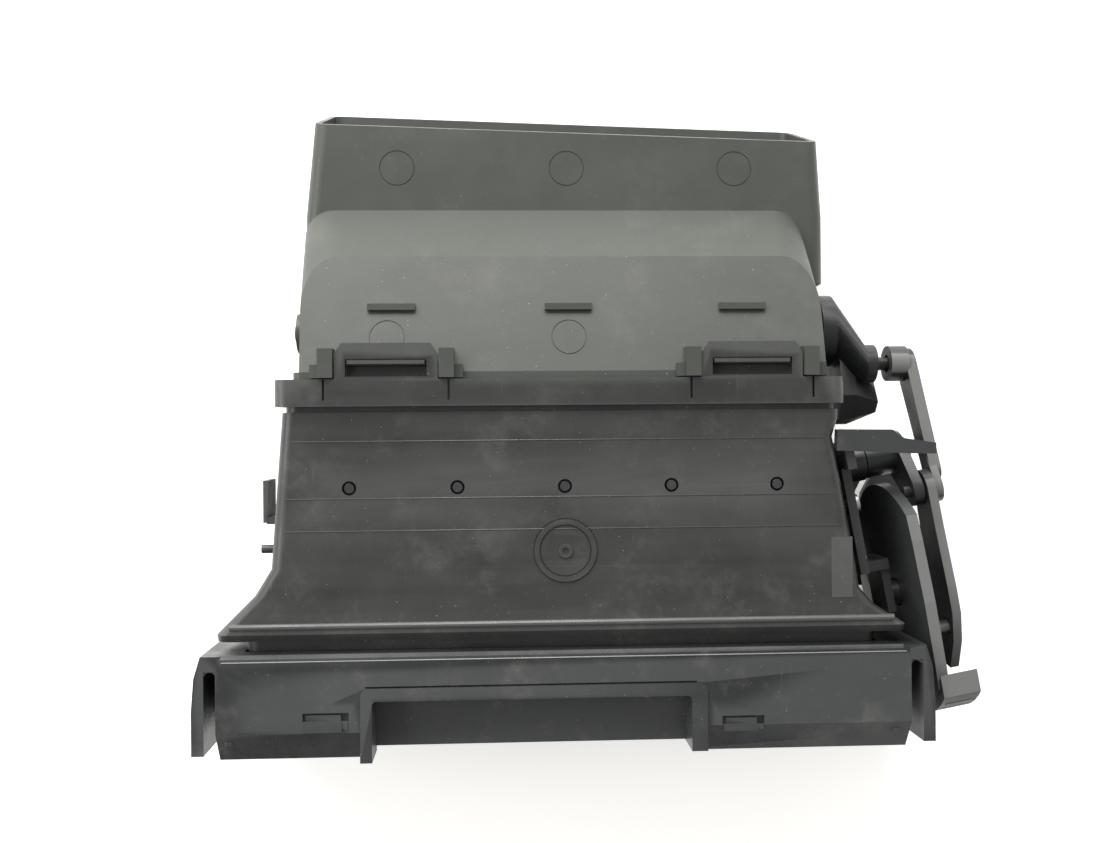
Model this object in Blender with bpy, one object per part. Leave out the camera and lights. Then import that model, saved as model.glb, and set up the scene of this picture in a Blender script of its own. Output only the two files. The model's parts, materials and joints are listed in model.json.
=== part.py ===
"""Dashboard air register with two banks of vanes and a thumbwheel shut-off damper.

Lengths are written in millimetres and become metres when a mesh is made.
-Y is the outlet, +Y the duct mouth, +X the side that carries the linkage, +Z is up.
The origin lies on the underside of the front frame, on the symmetry plane.
"""
import math

import bmesh
import bpy
from mathutils import Matrix, Vector

MM = 0.001
GAP = 0.3                    # room left between two pieces that touch

# Main housing: two half shells, split at mid height
HOUSING_TOP = 62.0
HOUSING_LOW = 2.0
HOUSING_MID = 32.0
EDGE_RADIUS = 3.4
COLLAR_FRONT = 83.4
COLLAR_REAR = 90.9
COLLAR_RISE = 2.0            # how far the collar stands above the housing
NECK_FRONT = 12.4
NECK_REAR = 18.5
FLARE_RIDGE = 20.5

# Snap tongues on the collar
TONGUE_CENTRES = (-49.4, 52.8)
TONGUE_WIDTH = 28.5
TONGUE_END = 100.9
WINDOW_WIDTH = 22.5
WINDOW_FRONT = 91.6
WINDOW_REAR = 96.5

# Duct adapter
ADAPTER_FRONT = 85.3
ADAPTER_WALL = 2.0
ADAPTER_LOW = 2.6
ADAPTER_HIGH = 61.6
ADAPTER_LEFT = -75.6
ADAPTER_RIGHT = 74.6
SLOPE_START = 93.0
RAMP_TOP = 126.5             # rear edge of the tall section
RAMP_TOP_HEIGHT = 51.5
RAMP_FOOT = 142.6
DUCT_TOP = 36.0
MOUTH_TOP = 166.0            # rear end of the duct's top wall
MOUTH_BOTTOM = 177.3
MOUTH_YAW = math.radians(1.85)
MOUTH_SHIFT = 2.9

# Front frame
FRAME_TOP = 64.0
FRAME_REAR = 15.0
FRAME_FRONT = -14.8
FINGER_FRONT = -12.3
PLATE_LEFT = -96.7
PLATE_RIGHT = 97.4
PLATE = 3.0
SLOT_REAR = 10.8             # rear end of the slot beside each finger
SLOPE_FRONT = -6.6
CUTOUT = (-54.0, 34.9)       # inner faces of the recess in the top plate
CUTOUT_REAR = 1.9
RIM_LEFT = 3.3
RIM_RIGHT = 4.5
RIM_REAR = 3.6
CUTOUT_FLOOR = 53.5

# Vertical vanes
VANE_PITCH = 30.0
VANE_COUNT = 5
VANE_PIVOT_Y = 60.7
VANE_FRONT = 15.5
VANE_THICK = 1.8
VANE_PIN_RADIUS = 1.35
VANE_HOLE_RADIUS = 2.0
TIE_OFFSET = 11.0            # vane pivots to the tie bar's pins
FORK_BAR_INSET = 1.2         # centre vane's front edge to the middle of its fork bar
FORK_REACH = 54.0            # rear end of the knob's fork
TIE_LOW = 8.4
TIE_HIGH = 10.4

# Horizontal vanes
BLADE_COUNT = 5
BLADE_FIRST_Z = 10.5
BLADE_PITCH = 9.0
BLADE_Y = 2.0
BLADE_CHORD = 16.0
BLADE_HALF_SPAN = 85.5
BLADE_THICK = 1.8
LINK_OFFSET = 5.0

# Damper and its linkage
AXLE_Y = 106.0
AXLE_Z = 31.0
AXLE_RADIUS = 2.5
FLAP_HALF_CHORD = 25.2
FLAP_SPAN = (-71.2, 71.2)
FLAP_THICK = 1.8
CRANK_RADIUS = 15.0
PIN_OFFSET = CRANK_RADIUS * math.sqrt(0.5)
CRANK_PIN = (AXLE_Y - PIN_OFFSET, AXLE_Z + PIN_OFFSET)
SIDE_TILT = math.radians(10.4)
SIDE_ORIGIN = Vector((102.4, 26.0, 0.0))
WHEEL_Z = 38.0
WHEEL_RADIUS = 33.2
WHEEL_FLAT = 21.5
WHEEL_THICK = 3.2
RIM_WIDTH = 11.2
RIM_RADIUS = 36.2
RIM_INNER = 31.6
RIM_TOP = 61.6
CARRIER_PLATE = (-14.0, -11.4)
ROCKER_B = 41.35             # distance from the wheel's axis to the rocker's
PIN_B = -PIN_OFFSET
PIN_Z = PIN_OFFSET

# Stop lobe of the damper crank, at its broad inner end and its narrow outer end: (y, z)
LOBE_WIDE = (
    (103.0, 25.0),
    (98.0, 21.0),
    (88.0, 19.0),
    (80.0, 24.0),
    (77.2, 31.0),
    (79.0, 38.0),
    (86.0, 42.0),
    (96.0, 40.0),
    (103.0, 36.0),
)
LOBE_SLIM = (
    (93.8, 33.4),
    (93.0, 33.0),
    (88.0, 32.0),
    (83.0, 33.0),
    (80.6, 35.0),
    (80.8, 38.0),
    (84.0, 40.6),
    (87.6, 38.2),
    (92.8, 34.8),
)

# Shelf low on the side carrier, with a curved bay behind the wheel: (x, y)
SHELF_OUTLINE = (
    (86.5, 32.5),
    (90.8, 27.3),
    (95.5, 24.0),
    (101.2, 24.0),
    (98.4, 42.0),
    (98.5, 46.9),
    (99.1, 55.1),
    (101.8, 60.3),
    (105.2, 63.9),
    (106.9, 63.6),
    (104.2, 59.6),
    (101.4, 54.4),
    (100.4, 46.8),
    (117.0, 46.8),
    (118.0, 68.0),
    (82.0, 72.0),
)
# Beam across the top of the side carrier: (x, y)
BEAM_OUTLINE = (
    (77.6, 75.9),
    (93.6, 75.7),
    (95.8, 73.4),
    (106.0, 71.9),
    (106.0, 68.8),
    (99.0, 68.9),
    (77.3, 69.9),
)
SHELF_LOW = 6.5
SHELF_HIGH = 9.0

MATERIALS = {
    "housing_plastic": ((0.030, 0.031, 0.031), 0.42),
    "adapter_plastic": ((0.045, 0.048, 0.044), 0.58),
    "frame_plastic": ((0.026, 0.027, 0.028), 0.45),
    "vane_plastic": ((0.022, 0.022, 0.024), 0.50),
    "link_plastic": ((0.035, 0.036, 0.037), 0.48),
    "seal_foam": ((0.018, 0.018, 0.018), 0.92),
    "grip_rubber": ((0.020, 0.020, 0.020), 0.80),
    "screw_steel": ((0.420, 0.420, 0.410), 0.35),
}


# ---------------------------------------------------------------- helpers
def clear_scene():
    for obj in list(bpy.data.objects):
        bpy.data.objects.remove(obj, do_unlink=True)


def make_materials():
    for name, (colour, roughness) in MATERIALS.items():
        mat = bpy.data.materials.new(name)
        mat.use_nodes = True
        shader = mat.node_tree.nodes["Principled BSDF"]
        shader.inputs["Base Color"].default_value = (*colour, 1.0)
        shader.inputs["Roughness"].default_value = roughness
        shader.inputs["Metallic"].default_value = 1.0 if name == "screw_steel" else 0.0


def mesh_object(bm, name="work"):
    bmesh.ops.recalc_face_normals(bm, faces=bm.faces)
    mesh = bpy.data.meshes.new(name)
    bm.to_mesh(mesh)
    bm.free()
    obj = bpy.data.objects.new(name, mesh)
    bpy.context.scene.collection.objects.link(obj)
    return obj


def loft(rings):
    """Closed solid through rings of equally many points, capped at both ends."""
    bm = bmesh.new()
    loops = [[bm.verts.new(Vector(p) * MM) for p in ring] for ring in rings]
    count = len(loops[0])
    for low, high in zip(loops, loops[1:]):
        for i in range(count):
            j = (i + 1) % count
            bm.faces.new((low[i], low[j], high[j], high[i]))
    bm.faces.new(loops[0])
    bm.faces.new(reversed(loops[-1]))
    bmesh.ops.remove_doubles(bm, verts=bm.verts, dist=0.0001 * MM)
    return mesh_object(bm)


def prism(points, axis, low, high):
    """Outline in the plane across an axis, extruded along it from low to high."""
    place = {
        "X": lambda p, d: (d, p[0], p[1]),
        "Y": lambda p, d: (p[0], d, p[1]),
        "Z": lambda p, d: (p[0], p[1], d),
    }[axis]
    return loft([[place(p, low) for p in points], [place(p, high) for p in points]])


def box(x0, x1, y0, y1, z0, z1):
    return prism([(x0, y0), (x1, y0), (x1, y1), (x0, y1)], "Z", z0, z1)


def circle(cx, cy, radius, count=20, start=0.0, sweep=2 * math.pi):
    """Points on a circle, or on an arc when sweep is less than a full turn."""
    full = abs(sweep) > 6.28
    steps = count if full else count - 1
    angles = [start + sweep * i / steps for i in range(count)]
    return [(cx + radius * math.cos(a), cy + radius * math.sin(a)) for a in angles]


def rod(axis, u, v, low, high, radius, count=16):
    """Cylinder along X, Y or Z; u and v place it in the plane across that axis."""
    return prism(circle(u, v, radius, count), axis, low, high)


def round_rect(x0, x1, z0, z1, radius, steps=3):
    """Rounded rectangle, anticlockwise from its lower left corner."""
    points = []
    corners = ((x1, z0, -90), (x1, z1, 0), (x0, z1, 90), (x0, z0, 180))
    for x, z, angle in corners:
        cx = x - math.copysign(radius, x - (x0 + x1) / 2)
        cz = z - math.copysign(radius, z - (z0 + z1) / 2)
        points += circle(cx, cz, radius, steps + 1, math.radians(angle), math.pi / 2)
    return points


def boolean(target, tool, operation):
    modifier = target.modifiers.new("boolean", "BOOLEAN")
    modifier.operation = operation
    modifier.solver = "EXACT"
    modifier.object = tool
    graph = bpy.context.evaluated_depsgraph_get()
    mesh = bpy.data.meshes.new_from_object(target.evaluated_get(graph))
    target.modifiers.clear()
    target.data = mesh
    bpy.data.objects.remove(tool, do_unlink=True)
    return target


def cut(target, *tools):
    for tool in tools:
        boolean(target, tool, "DIFFERENCE")
    return target


def unite(target, *tools):
    for tool in tools:
        boolean(target, tool, "UNION")
    return target


def side_matrix():
    """Frame of the inclined linkage plane: a outward, b rearward, z up."""
    outward = Vector((math.cos(SIDE_TILT), math.sin(SIDE_TILT), 0.0))
    rearward = Vector((-math.sin(SIDE_TILT), math.cos(SIDE_TILT), 0.0))
    matrix = Matrix((outward, rearward, Vector((0.0, 0.0, 1.0)))).transposed().to_4x4()
    matrix.translation = SIDE_ORIGIN * MM
    return matrix


def to_side(obj):
    """Move a solid made with x=a, y=b, z=z into the linkage plane."""
    obj.data.transform(side_matrix())
    return obj


def side_point(a, b, z):
    return side_matrix() @ (Vector((a, b, z)) * MM) / MM


def publish(obj, name, material, pivot=(0.0, 0.0, 0.0)):
    """Name a finished solid, give it its material and put its origin on its pivot."""
    centre = Vector(pivot) * MM
    obj.data.transform(Matrix.Translation(-centre))
    obj.location = centre
    obj.name = name
    obj.data.name = name
    obj.data.materials.clear()
    obj.data.materials.append(bpy.data.materials[material])
    obj.data.shade_smooth()
    obj.data.set_sharp_from_angle(angle=math.radians(32))
    return obj


# ---------------------------------------------------------------- housing shells
# Along Y: left wall, right wall, height of the top face
HOUSING_STATIONS = (
    (NECK_FRONT, -89.7, 89.7, 57.0),
    (NECK_REAR, -89.7, 89.7, 57.0),
    (NECK_REAR, -97.0, 97.0, 61.4),
    (FLARE_RIDGE, -97.0, 97.0, 62.8),
    (26.2, -91.3, 88.0, 62.3),
    (31.0, -86.5, 84.0, 62.1),
    (38.3, -82.0, 83.0, 62.0),
    (74.0, -79.3, 76.6, 62.0),
    (79.0, -78.9, 78.1, 62.0),
    (81.8, -78.7, 78.3, 62.0),
    (81.8, -77.8, 77.4, 61.0),
    (COLLAR_FRONT, -77.8, 77.4, 61.0),
    (COLLAR_FRONT, -80.4, 79.4, 64.0),
    (COLLAR_REAR, -80.4, 79.4, 64.0),
)


# Inside of the tube, in the same order
BORE_STATIONS = (
    (NECK_FRONT - 2.0, -87.5, 87.5, 54.8),
    (FLARE_RIDGE, -87.5, 87.5, 55.0),
    (26.2, -87.5, 85.6, 59.4),
    (31.0, -84.2, 81.7, 59.8),
    (38.3, -79.8, 80.8, 59.8),
    (74.0, -76.6, 74.4, 59.8),
    (81.8, -75.4, 75.1, 59.8),
    (ADAPTER_FRONT, -75.4, 75.1, 59.8),
)


def tube(stations, radius):
    """Loft of rounded sections that are symmetric about mid height."""
    rings = []
    for y, left, right, top in stations:
        rings.append([(x, y, z) for x, z in round_rect(left, right, 2 * HOUSING_MID - top, top, radius)])
    return loft(rings)


def half_shell():
    """Upper half shell, open at both ends, without holes or tongues."""
    shell = tube(HOUSING_STATIONS, EDGE_RADIUS)
    cut(shell, tube(BORE_STATIONS, EDGE_RADIUS - 1.6))
    low, high = ADAPTER_LOW - GAP, ADAPTER_HIGH + GAP
    socket = box(ADAPTER_LEFT - GAP, ADAPTER_RIGHT + GAP, ADAPTER_FRONT - GAP, COLLAR_REAR + 5, low, high)
    return cut(shell, socket, box(-120, 120, 0, 120, -10, HOUSING_MID + GAP / 2))


def tongue(centre):
    """Flexible snap tongue with chamfered rear corners and a window for the catch."""
    half = TONGUE_WIDTH / 2
    top = HOUSING_TOP + COLLAR_RISE
    outline = [
        (centre - half, COLLAR_REAR - 1.0),
        (centre + half, COLLAR_REAR - 1.0),
        (centre + half, TONGUE_END - 3.0),
        (centre + half - 2.0, TONGUE_END),
        (centre - half + 2.0, TONGUE_END),
        (centre - half, TONGUE_END - 3.0),
    ]
    plate = prism(outline, "Z", top - 1.8, top)
    reach = WINDOW_WIDTH / 2
    return cut(plate, box(centre - reach, centre + reach, WINDOW_FRONT, WINDOW_REAR, top - 5, top + 5))


def tongue_slits(centre):
    """Two slits through the collar that let the tongue bend."""
    slits = []
    for side in (-1, 1):
        x = centre + side * (TONGUE_WIDTH / 2 + 3.0)
        slits.append(box(x - 0.3, x + 0.3, COLLAR_FRONT + 1.7, COLLAR_REAR + 1, HOUSING_TOP + 0.4, 70))
    return slits


def mirror_height(obj):
    """Turn an upper half into the matching lower half."""
    obj.data.transform(Matrix.Scale(-1, 4, (0, 0, 1)))
    obj.data.transform(Matrix.Translation((0, 0, 2 * HOUSING_MID * MM)))
    obj.data.flip_normals()
    return obj


def finished_shell():
    shell = half_shell()
    for centre in TONGUE_CENTRES:
        unite(shell, tongue(centre))
        cut(shell, *tongue_slits(centre))
    for x in vane_positions():
        cut(shell, rod("Z", x, VANE_PIVOT_Y, 55, 70, VANE_HOLE_RADIUS))
    return shell


def vane_positions():
    first = -VANE_PITCH * (VANE_COUNT - 1) / 2
    return [first + VANE_PITCH * i for i in range(VANE_COUNT)]


def screw_places():
    """Points (b, z) of the three screws that hold the side carrier to the housing."""
    return ((30.0, 47.0), (14.0, 17.0), (38.0, 17.0))


def housing_upper():
    shell = finished_shell()
    ring = rod("Z", 0.0, 42.7, HOUSING_TOP - 0.6, HOUSING_TOP + 0.5, 8.7, 28)
    cut(ring, rod("Z", 0.0, 42.7, HOUSING_TOP - 0.2, 70, 7.3, 28))
    unite(shell, ring, rod("Z", 0.0, 42.7, HOUSING_TOP - 0.6, HOUSING_TOP + 0.5, 2.0, 12))
    peg = rod("X", 42.4, 45.0, -87.4, -80.6, 1.25, 10)
    gusset = prism([(-80.8, 42.4), (-84.5, 42.4), (-80.8, 38.0)], "Z", 44.2, 45.8)
    stand = box(-85.0, -79.6, 50.0, 52.0, 38.0, 50.0)
    leaf = box(-86.0, -84.6, 50.4, 62.5, 38.0, 50.0)
    unite(shell, gusset, peg, stand, leaf)
    b, z = screw_places()[0]
    cut(shell, to_side(rod("X", b, z, -24, -12, 1.5, 10)))
    publish(shell, "housing_upper", "housing_plastic")


def housing_lower():
    shell = mirror_height(finished_shell())
    for b, z in screw_places()[1:]:
        cut(shell, to_side(rod("X", b, z, -24, -12, 1.5, 10)))
    publish(shell, "housing_lower", "housing_plastic")


# ---------------------------------------------------------------- duct adapter
def low_duct(inset, front, rear):
    """Low part of the duct; it leans to +X and its right wall bulges behind the damper."""
    stations = (
        (front, ADAPTER_LEFT, ADAPTER_RIGHT),
        (117.5, -75.7, 75.4),
        (120.5, -75.8, 81.6),
        (141.0, -75.8, 81.6),
        (rear, -70.9, 78.9),
    )
    rings = []
    for y, left, right in stations:
        points = round_rect(left + inset, right - inset, ADAPTER_LOW + inset, DUCT_TOP - inset, 4.2 - inset)
        rings.append([(x, y, z) for x, z in points])
    return loft(rings)


def hump_ring(z, rear, left, right, inset, corner, front):
    """Plan outline of the tall section at one height, round at its rear corners."""
    x0, x1, y1 = left + inset, right - inset, rear - inset
    arcs = circle(x1 - corner, y1 - corner, corner, 5, 0, math.pi / 2)
    arcs += circle(x0 + corner, y1 - corner, corner, 5, math.pi / 2, math.pi / 2)
    return [(x0, front, z), (x1, front, z)] + [(x, y, z) for x, y in arcs]


def tall_section(inset, front):
    """Tall section with its rear ramp; the top plane falls away towards the duct."""
    slope = (RAMP_FOOT - RAMP_TOP) / (RAMP_TOP_HEIGHT - DUCT_TOP)
    heights = ((20.0, 4.2), (DUCT_TOP, 8.5), (RAMP_TOP_HEIGHT, 10.5), (ADAPTER_HIGH + 2, 11.5))
    rings = []
    for z, corner in heights:
        rear = RAMP_TOP - (z - RAMP_TOP_HEIGHT) * slope
        rear = min(rear, RAMP_FOOT)
        left = ADAPTER_LEFT + 2.0 * max(0.0, (z - DUCT_TOP) / (ADAPTER_HIGH - DUCT_TOP))
        rings.append(hump_ring(z, rear, left, ADAPTER_RIGHT, inset, corner - inset, front))
    solid = loft(rings)
    fall = (ADAPTER_HIGH - RAMP_TOP_HEIGHT) / (RAMP_TOP - SLOPE_START)
    far = 160.0
    profile = [
        (front - 5, ADAPTER_HIGH - inset),
        (SLOPE_START, ADAPTER_HIGH - inset),
        (far, ADAPTER_HIGH - inset - fall * (far - SLOPE_START)),
        (far, 90.0),
        (front - 5, 90.0),
    ]
    return cut(solid, prism(profile, "X", -100, 100))


def front_block(inset, front, rear):
    """Square-cornered spigot that plugs into the collar."""
    left, right = ADAPTER_LEFT + inset, ADAPTER_RIGHT - inset
    points = round_rect(left, right, ADAPTER_LOW + inset, ADAPTER_HIGH - inset, 3.0 - inset / 2)
    return prism(points, "Y", front, rear)


def adapter_volume(inset, front, rear):
    solid = front_block(inset, front, SLOPE_START)
    return unite(solid, low_duct(inset, front + 1.0, rear), tall_section(inset, front + 1.0))


def guide_block(x, side):
    """L-shaped guide beside a snap tongue."""
    upright = box(x - 2.1, x + 2.1, 91.3, 99.4, ADAPTER_HIGH - 6.0, 65.2)
    foot = box(x - 2.1 + side * 2.4, x + 2.1 + side * 2.4, 91.3, 95.0, ADAPTER_HIGH - 6.0, 63.2)
    return unite(upright, foot)


def duct_adapter():
    body = adapter_volume(0.0, ADAPTER_FRONT, 190.0)
    cut(body, adapter_volume(ADAPTER_WALL, ADAPTER_FRONT - 5, 195.0))
    lean = (MOUTH_BOTTOM - MOUTH_TOP) / (DUCT_TOP - ADAPTER_LOW)
    profile = [
        (MOUTH_TOP - lean * 20, DUCT_TOP + 20),
        (MOUTH_BOTTOM + lean * 20, ADAPTER_LOW - 20),
        (230.0, ADAPTER_LOW - 20),
        (230.0, DUCT_TOP + 20),
    ]
    trim = prism(profile, "X", -120, 120)
    spin = Matrix.Translation((MOUTH_SHIFT * MM, MOUTH_TOP * MM, 0))
    trim.data.transform(spin @ Matrix.Rotation(-MOUTH_YAW, 4, "Z") @ spin.inverted())
    cut(body, trim)
    solids = []
    for centre in TONGUE_CENTRES:
        reach = TONGUE_WIDTH / 2 + GAP + 2.1
        solids += [guide_block(centre - reach, -1), guide_block(centre + reach, 1)]
        half = WINDOW_WIDTH / 2 - 0.6
        wedge = [(93.2, 59.5), (96.0, 59.5), (96.0, 64.2), (95.0, 64.2), (93.2, 62.6)]
        solids.append(prism(wedge, "X", centre - half, centre + half))
    for centre in (-48.4, 1.7, 51.6):
        solids.append(box(centre - 6.7, centre + 6.7, 110.6, 112.4, 52.0, 57.6))
    for x0, x1 in ((-78.6, -74.6), (73.6, 77.6)):
        solids.append(rod("X", AXLE_Y, AXLE_Z, x0, x1, 6.0))
    unite(body, *solids)
    fall = (ADAPTER_HIGH - RAMP_TOP_HEIGHT) / (RAMP_TOP - SLOPE_START)
    roof, rear = ADAPTER_HIGH - ADAPTER_WALL, 100.0
    hollow = [(88.0, 50.0), (88.0, roof), (SLOPE_START, roof)]
    hollow += [(rear, roof - fall * (rear - SLOPE_START)), (rear, 50.0)]
    cut(body, prism(hollow, "X", ADAPTER_LEFT + 2, ADAPTER_RIGHT - 2))
    cut(body, rod("X", AXLE_Y, AXLE_Z, -90, 90, 2.9))
    publish(body, "duct_adapter", "adapter_plastic")


# ---------------------------------------------------------------- front frame
def frame_side(sign):
    """Side wall with a slanted rear corner; its front end is a free finger."""
    outer = [(103.3, FINGER_FRONT), (103.3, 0.0), (102.6, 9.0), (100.8, FRAME_REAR)]
    inner = [(95.5, FRAME_REAR), (95.5, SLOT_REAR), (99.9, SLOT_REAR), (99.9, FINGER_FRONT)]
    shift = 0.9 if sign > 0 else 0.0
    points = [(sign * (x + shift * (x > 99)), y) for x, y in outer + inner]
    return prism(points, "Z", 0.0, FRAME_TOP)


def front_frame():
    top_profile = [
        (FRAME_REAR, FRAME_TOP - 1.2),
        (FRAME_REAR - 0.9, FRAME_TOP),
        (SLOPE_FRONT, FRAME_TOP),
        (FRAME_FRONT, FRAME_TOP - 5.5),
        (FRAME_FRONT, FRAME_TOP - 8.0),
        (SLOPE_FRONT - 0.6, FRAME_TOP - PLATE),
        (FRAME_REAR, FRAME_TOP - PLATE),
    ]
    body = prism(top_profile, "X", PLATE_LEFT, PLATE_RIGHT)
    left, right = CUTOUT
    cut(body, box(left - 1.0, right + 1.0, -20, CUTOUT_REAR + 1.0, 50, 70))
    outline = [
        (left - RIM_LEFT, FRAME_FRONT - 0.2),
        (left - RIM_LEFT, CUTOUT_REAR + RIM_REAR),
        (right + RIM_RIGHT, CUTOUT_REAR + RIM_REAR),
        (right + RIM_RIGHT, FRAME_FRONT + 1.2),
        (right, FRAME_FRONT + 1.2),
        (right, CUTOUT_REAR),
        (left, CUTOUT_REAR),
        (left, FRAME_FRONT - 0.2),
    ]
    rim = prism(outline, "Z", CUTOUT_FLOOR - 2.0, FRAME_TOP + 0.4)
    floor = box(left - 1, right + 1, FRAME_FRONT + 1.7, CUTOUT_REAR + 1, CUTOUT_FLOOR - 2.0, CUTOUT_FLOOR)
    bottom = box(PLATE_LEFT, PLATE_RIGHT, FRAME_FRONT, FRAME_REAR, 0.0, PLATE)
    unite(bottom, box(-101.0, 102.0, FINGER_FRONT, 12.0, 0.0, PLATE))
    rear = box(-97.4, 98.3, 12.4, FRAME_REAR, 0.0, FRAME_TOP - 1.2)
    unite(body, rim, floor, rear, bottom, frame_side(-1), frame_side(1))
    cut(body, box(-90.0, 90.0, 5.0, 20.0, 2 * HOUSING_MID - 57.3, 57.3))
    for x0, x1 in ((-94.6, -92.3), (92.3, 94.6)):
        unite(body, box(x0, x1, -10.0, 13.0, 1.5, FRAME_TOP - 1.5))
    for x0, x1, y0, y1 in ((-72.6, -62.2, -6.3, -1.6), (43.9, 53.5, -8.2, -4.6)):
        unite(body, box(x0, x1, y0, y1, FRAME_TOP - 2.6, FRAME_TOP + 0.5))
    publish(body, "front_frame", "frame_plastic")


# ---------------------------------------------------------------- vertical vanes
def vertical_vane(index, x):
    low, high = 4.8, 59.2
    front, rear = VANE_PIVOT_Y - VANE_FRONT, VANE_PIVOT_Y + VANE_FRONT
    half = VANE_THICK / 2
    outline = [
        (x - 0.3, front),
        (x + 0.3, front),
        (x + half, front + 5.0),
        (x + half, rear - 5.0),
        (x + 0.3, rear),
        (x - 0.3, rear),
        (x - half, rear - 5.0),
        (x - half, front + 5.0),
    ]
    vane = prism(outline, "Z", low, high)
    unite(vane, rod("Z", x, VANE_PIVOT_Y, low, high, 2.0, 12))
    tie_y = VANE_PIVOT_Y + TIE_OFFSET
    cut(vane, box(x - 3, x + 3, tie_y - 4.2, rear + 2, low - 2, 12.0))
    unite(vane, rod("Z", x, tie_y, 7.0, 13.5, 1.2, 10))
    unite(vane, rod("Z", x, VANE_PIVOT_Y, HOUSING_LOW + 0.1, HOUSING_TOP - 0.1, VANE_PIN_RADIUS, 14))
    if x == 0.0:
        cut(vane, box(x - 3, x + 3, front - 2, FORK_REACH + 0.7, 6.5, 52.0))
        unite(vane, rod("Z", x, front + FORK_BAR_INSET, 5.5, 53.0, 1.2, 12))
    publish(vane, f"vertical_vane_{index}", "vane_plastic", (x, VANE_PIVOT_Y, HOUSING_MID))


def vane_tie_bar():
    y = VANE_PIVOT_Y + TIE_OFFSET
    places = vane_positions()
    bar = prism(round_rect(places[0] - 4, places[-1] + 4, y - 2.5, y + 2.5, 2.4), "Z", TIE_LOW, TIE_HIGH)
    for x in places:
        cut(bar, rod("Z", x, y, 0, 20, 1.55, 12))
    publish(bar, "vane_tie_bar", "vane_plastic", (0.0, y, TIE_LOW))


# ---------------------------------------------------------------- horizontal vanes
def blade_heights():
    return [BLADE_FIRST_Z + BLADE_PITCH * i for i in range(BLADE_COUNT)]


def blade_section(z):
    half, chord = BLADE_THICK / 2, BLADE_CHORD / 2
    return [
        (BLADE_Y - chord, z - 0.5),
        (BLADE_Y - chord + 3, z - half),
        (BLADE_Y + chord - 4, z - half),
        (BLADE_Y + chord, z - 0.3),
        (BLADE_Y + chord, z + 0.3),
        (BLADE_Y + chord - 4, z + half),
        (BLADE_Y - chord + 3, z + half),
        (BLADE_Y - chord, z + 0.5),
    ]


def horizontal_vane(index, z):
    blade = prism(blade_section(z), "X", -BLADE_HALF_SPAN, BLADE_HALF_SPAN)
    unite(blade, rod("X", BLADE_Y, z, -91.6, 91.6, 1.3, 12))
    unite(blade, rod("X", BLADE_Y + LINK_OFFSET, z, BLADE_HALF_SPAN - 2, 88.9, 1.1, 10))
    publish(blade, f"horizontal_vane_{index}", "vane_plastic", (0.0, BLADE_Y, z))


def vane_side_link():
    heights = blade_heights()
    y = BLADE_Y + LINK_OFFSET
    bar = box(86.3, 88.4, y - 2.0, y + 2.0, heights[0] - 3, heights[-1] + 3)
    for z in heights:
        cut(bar, rod("X", y, z, 80, 95, 1.45, 12))
    publish(bar, "vane_side_link", "vane_plastic", (86.3, y, heights[BLADE_COUNT // 2]))


def vane_bearing(side, name):
    x0, x1 = sorted((side * 89.3, side * 92.0))
    strip = box(x0, x1, -5.0, 11.6, 3.6, 50.9)
    for z in blade_heights():
        cut(strip, rod("X", BLADE_Y, z, x0 - 2, x1 + 2, 1.65, 12))
    publish(strip, name, "frame_plastic")


def slider_knob():
    """Grip that slides on the middle blade, with a fork that steers the centre vane."""
    z = BLADE_FIRST_Z + BLADE_PITCH * (BLADE_COUNT // 2)
    grip = prism(round_rect(-10.0, 10.0, z - 3.4, z + 3.4, 2.0), "Y", -12.6, -4.0)
    sleeve = prism(round_rect(-8.0, 8.0, z - 2.6, z + 2.6, 0.8), "Y", -5.0, 11.8)
    unite(grip, sleeve)
    channel = prism([(-6.4, z - 1.35), (10.4, z - 1.35), (10.4, z + 1.35), (-6.4, z + 1.35)], "X", -20, 20)
    cut(grip, channel)
    for side in (-1, 1):
        arm = [
            (side * 1.75, 10.6),
            (side * 1.75, FORK_REACH),
            (side * 2.6, FORK_REACH),
            (side * 3.6, FORK_REACH - 2.6),
            (side * 3.6, 10.6),
        ]
        unite(grip, prism(arm, "Z", z - 1.6, z + 1.6))
    cut(grip, prism(round_rect(-7.6, 7.6, z - 1.9, z + 1.9, 1.2), "Y", -14.0, -11.4))
    publish(grip, "slider_knob", "vane_plastic", (0.0, BLADE_Y, z))
    pad = prism(round_rect(-7.3, 7.3, z - 1.6, z + 1.6, 1.0), "Y", -13.2, -11.7)
    publish(pad, "knob_grip_pad", "grip_rubber", (0.0, BLADE_Y, z))


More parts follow.
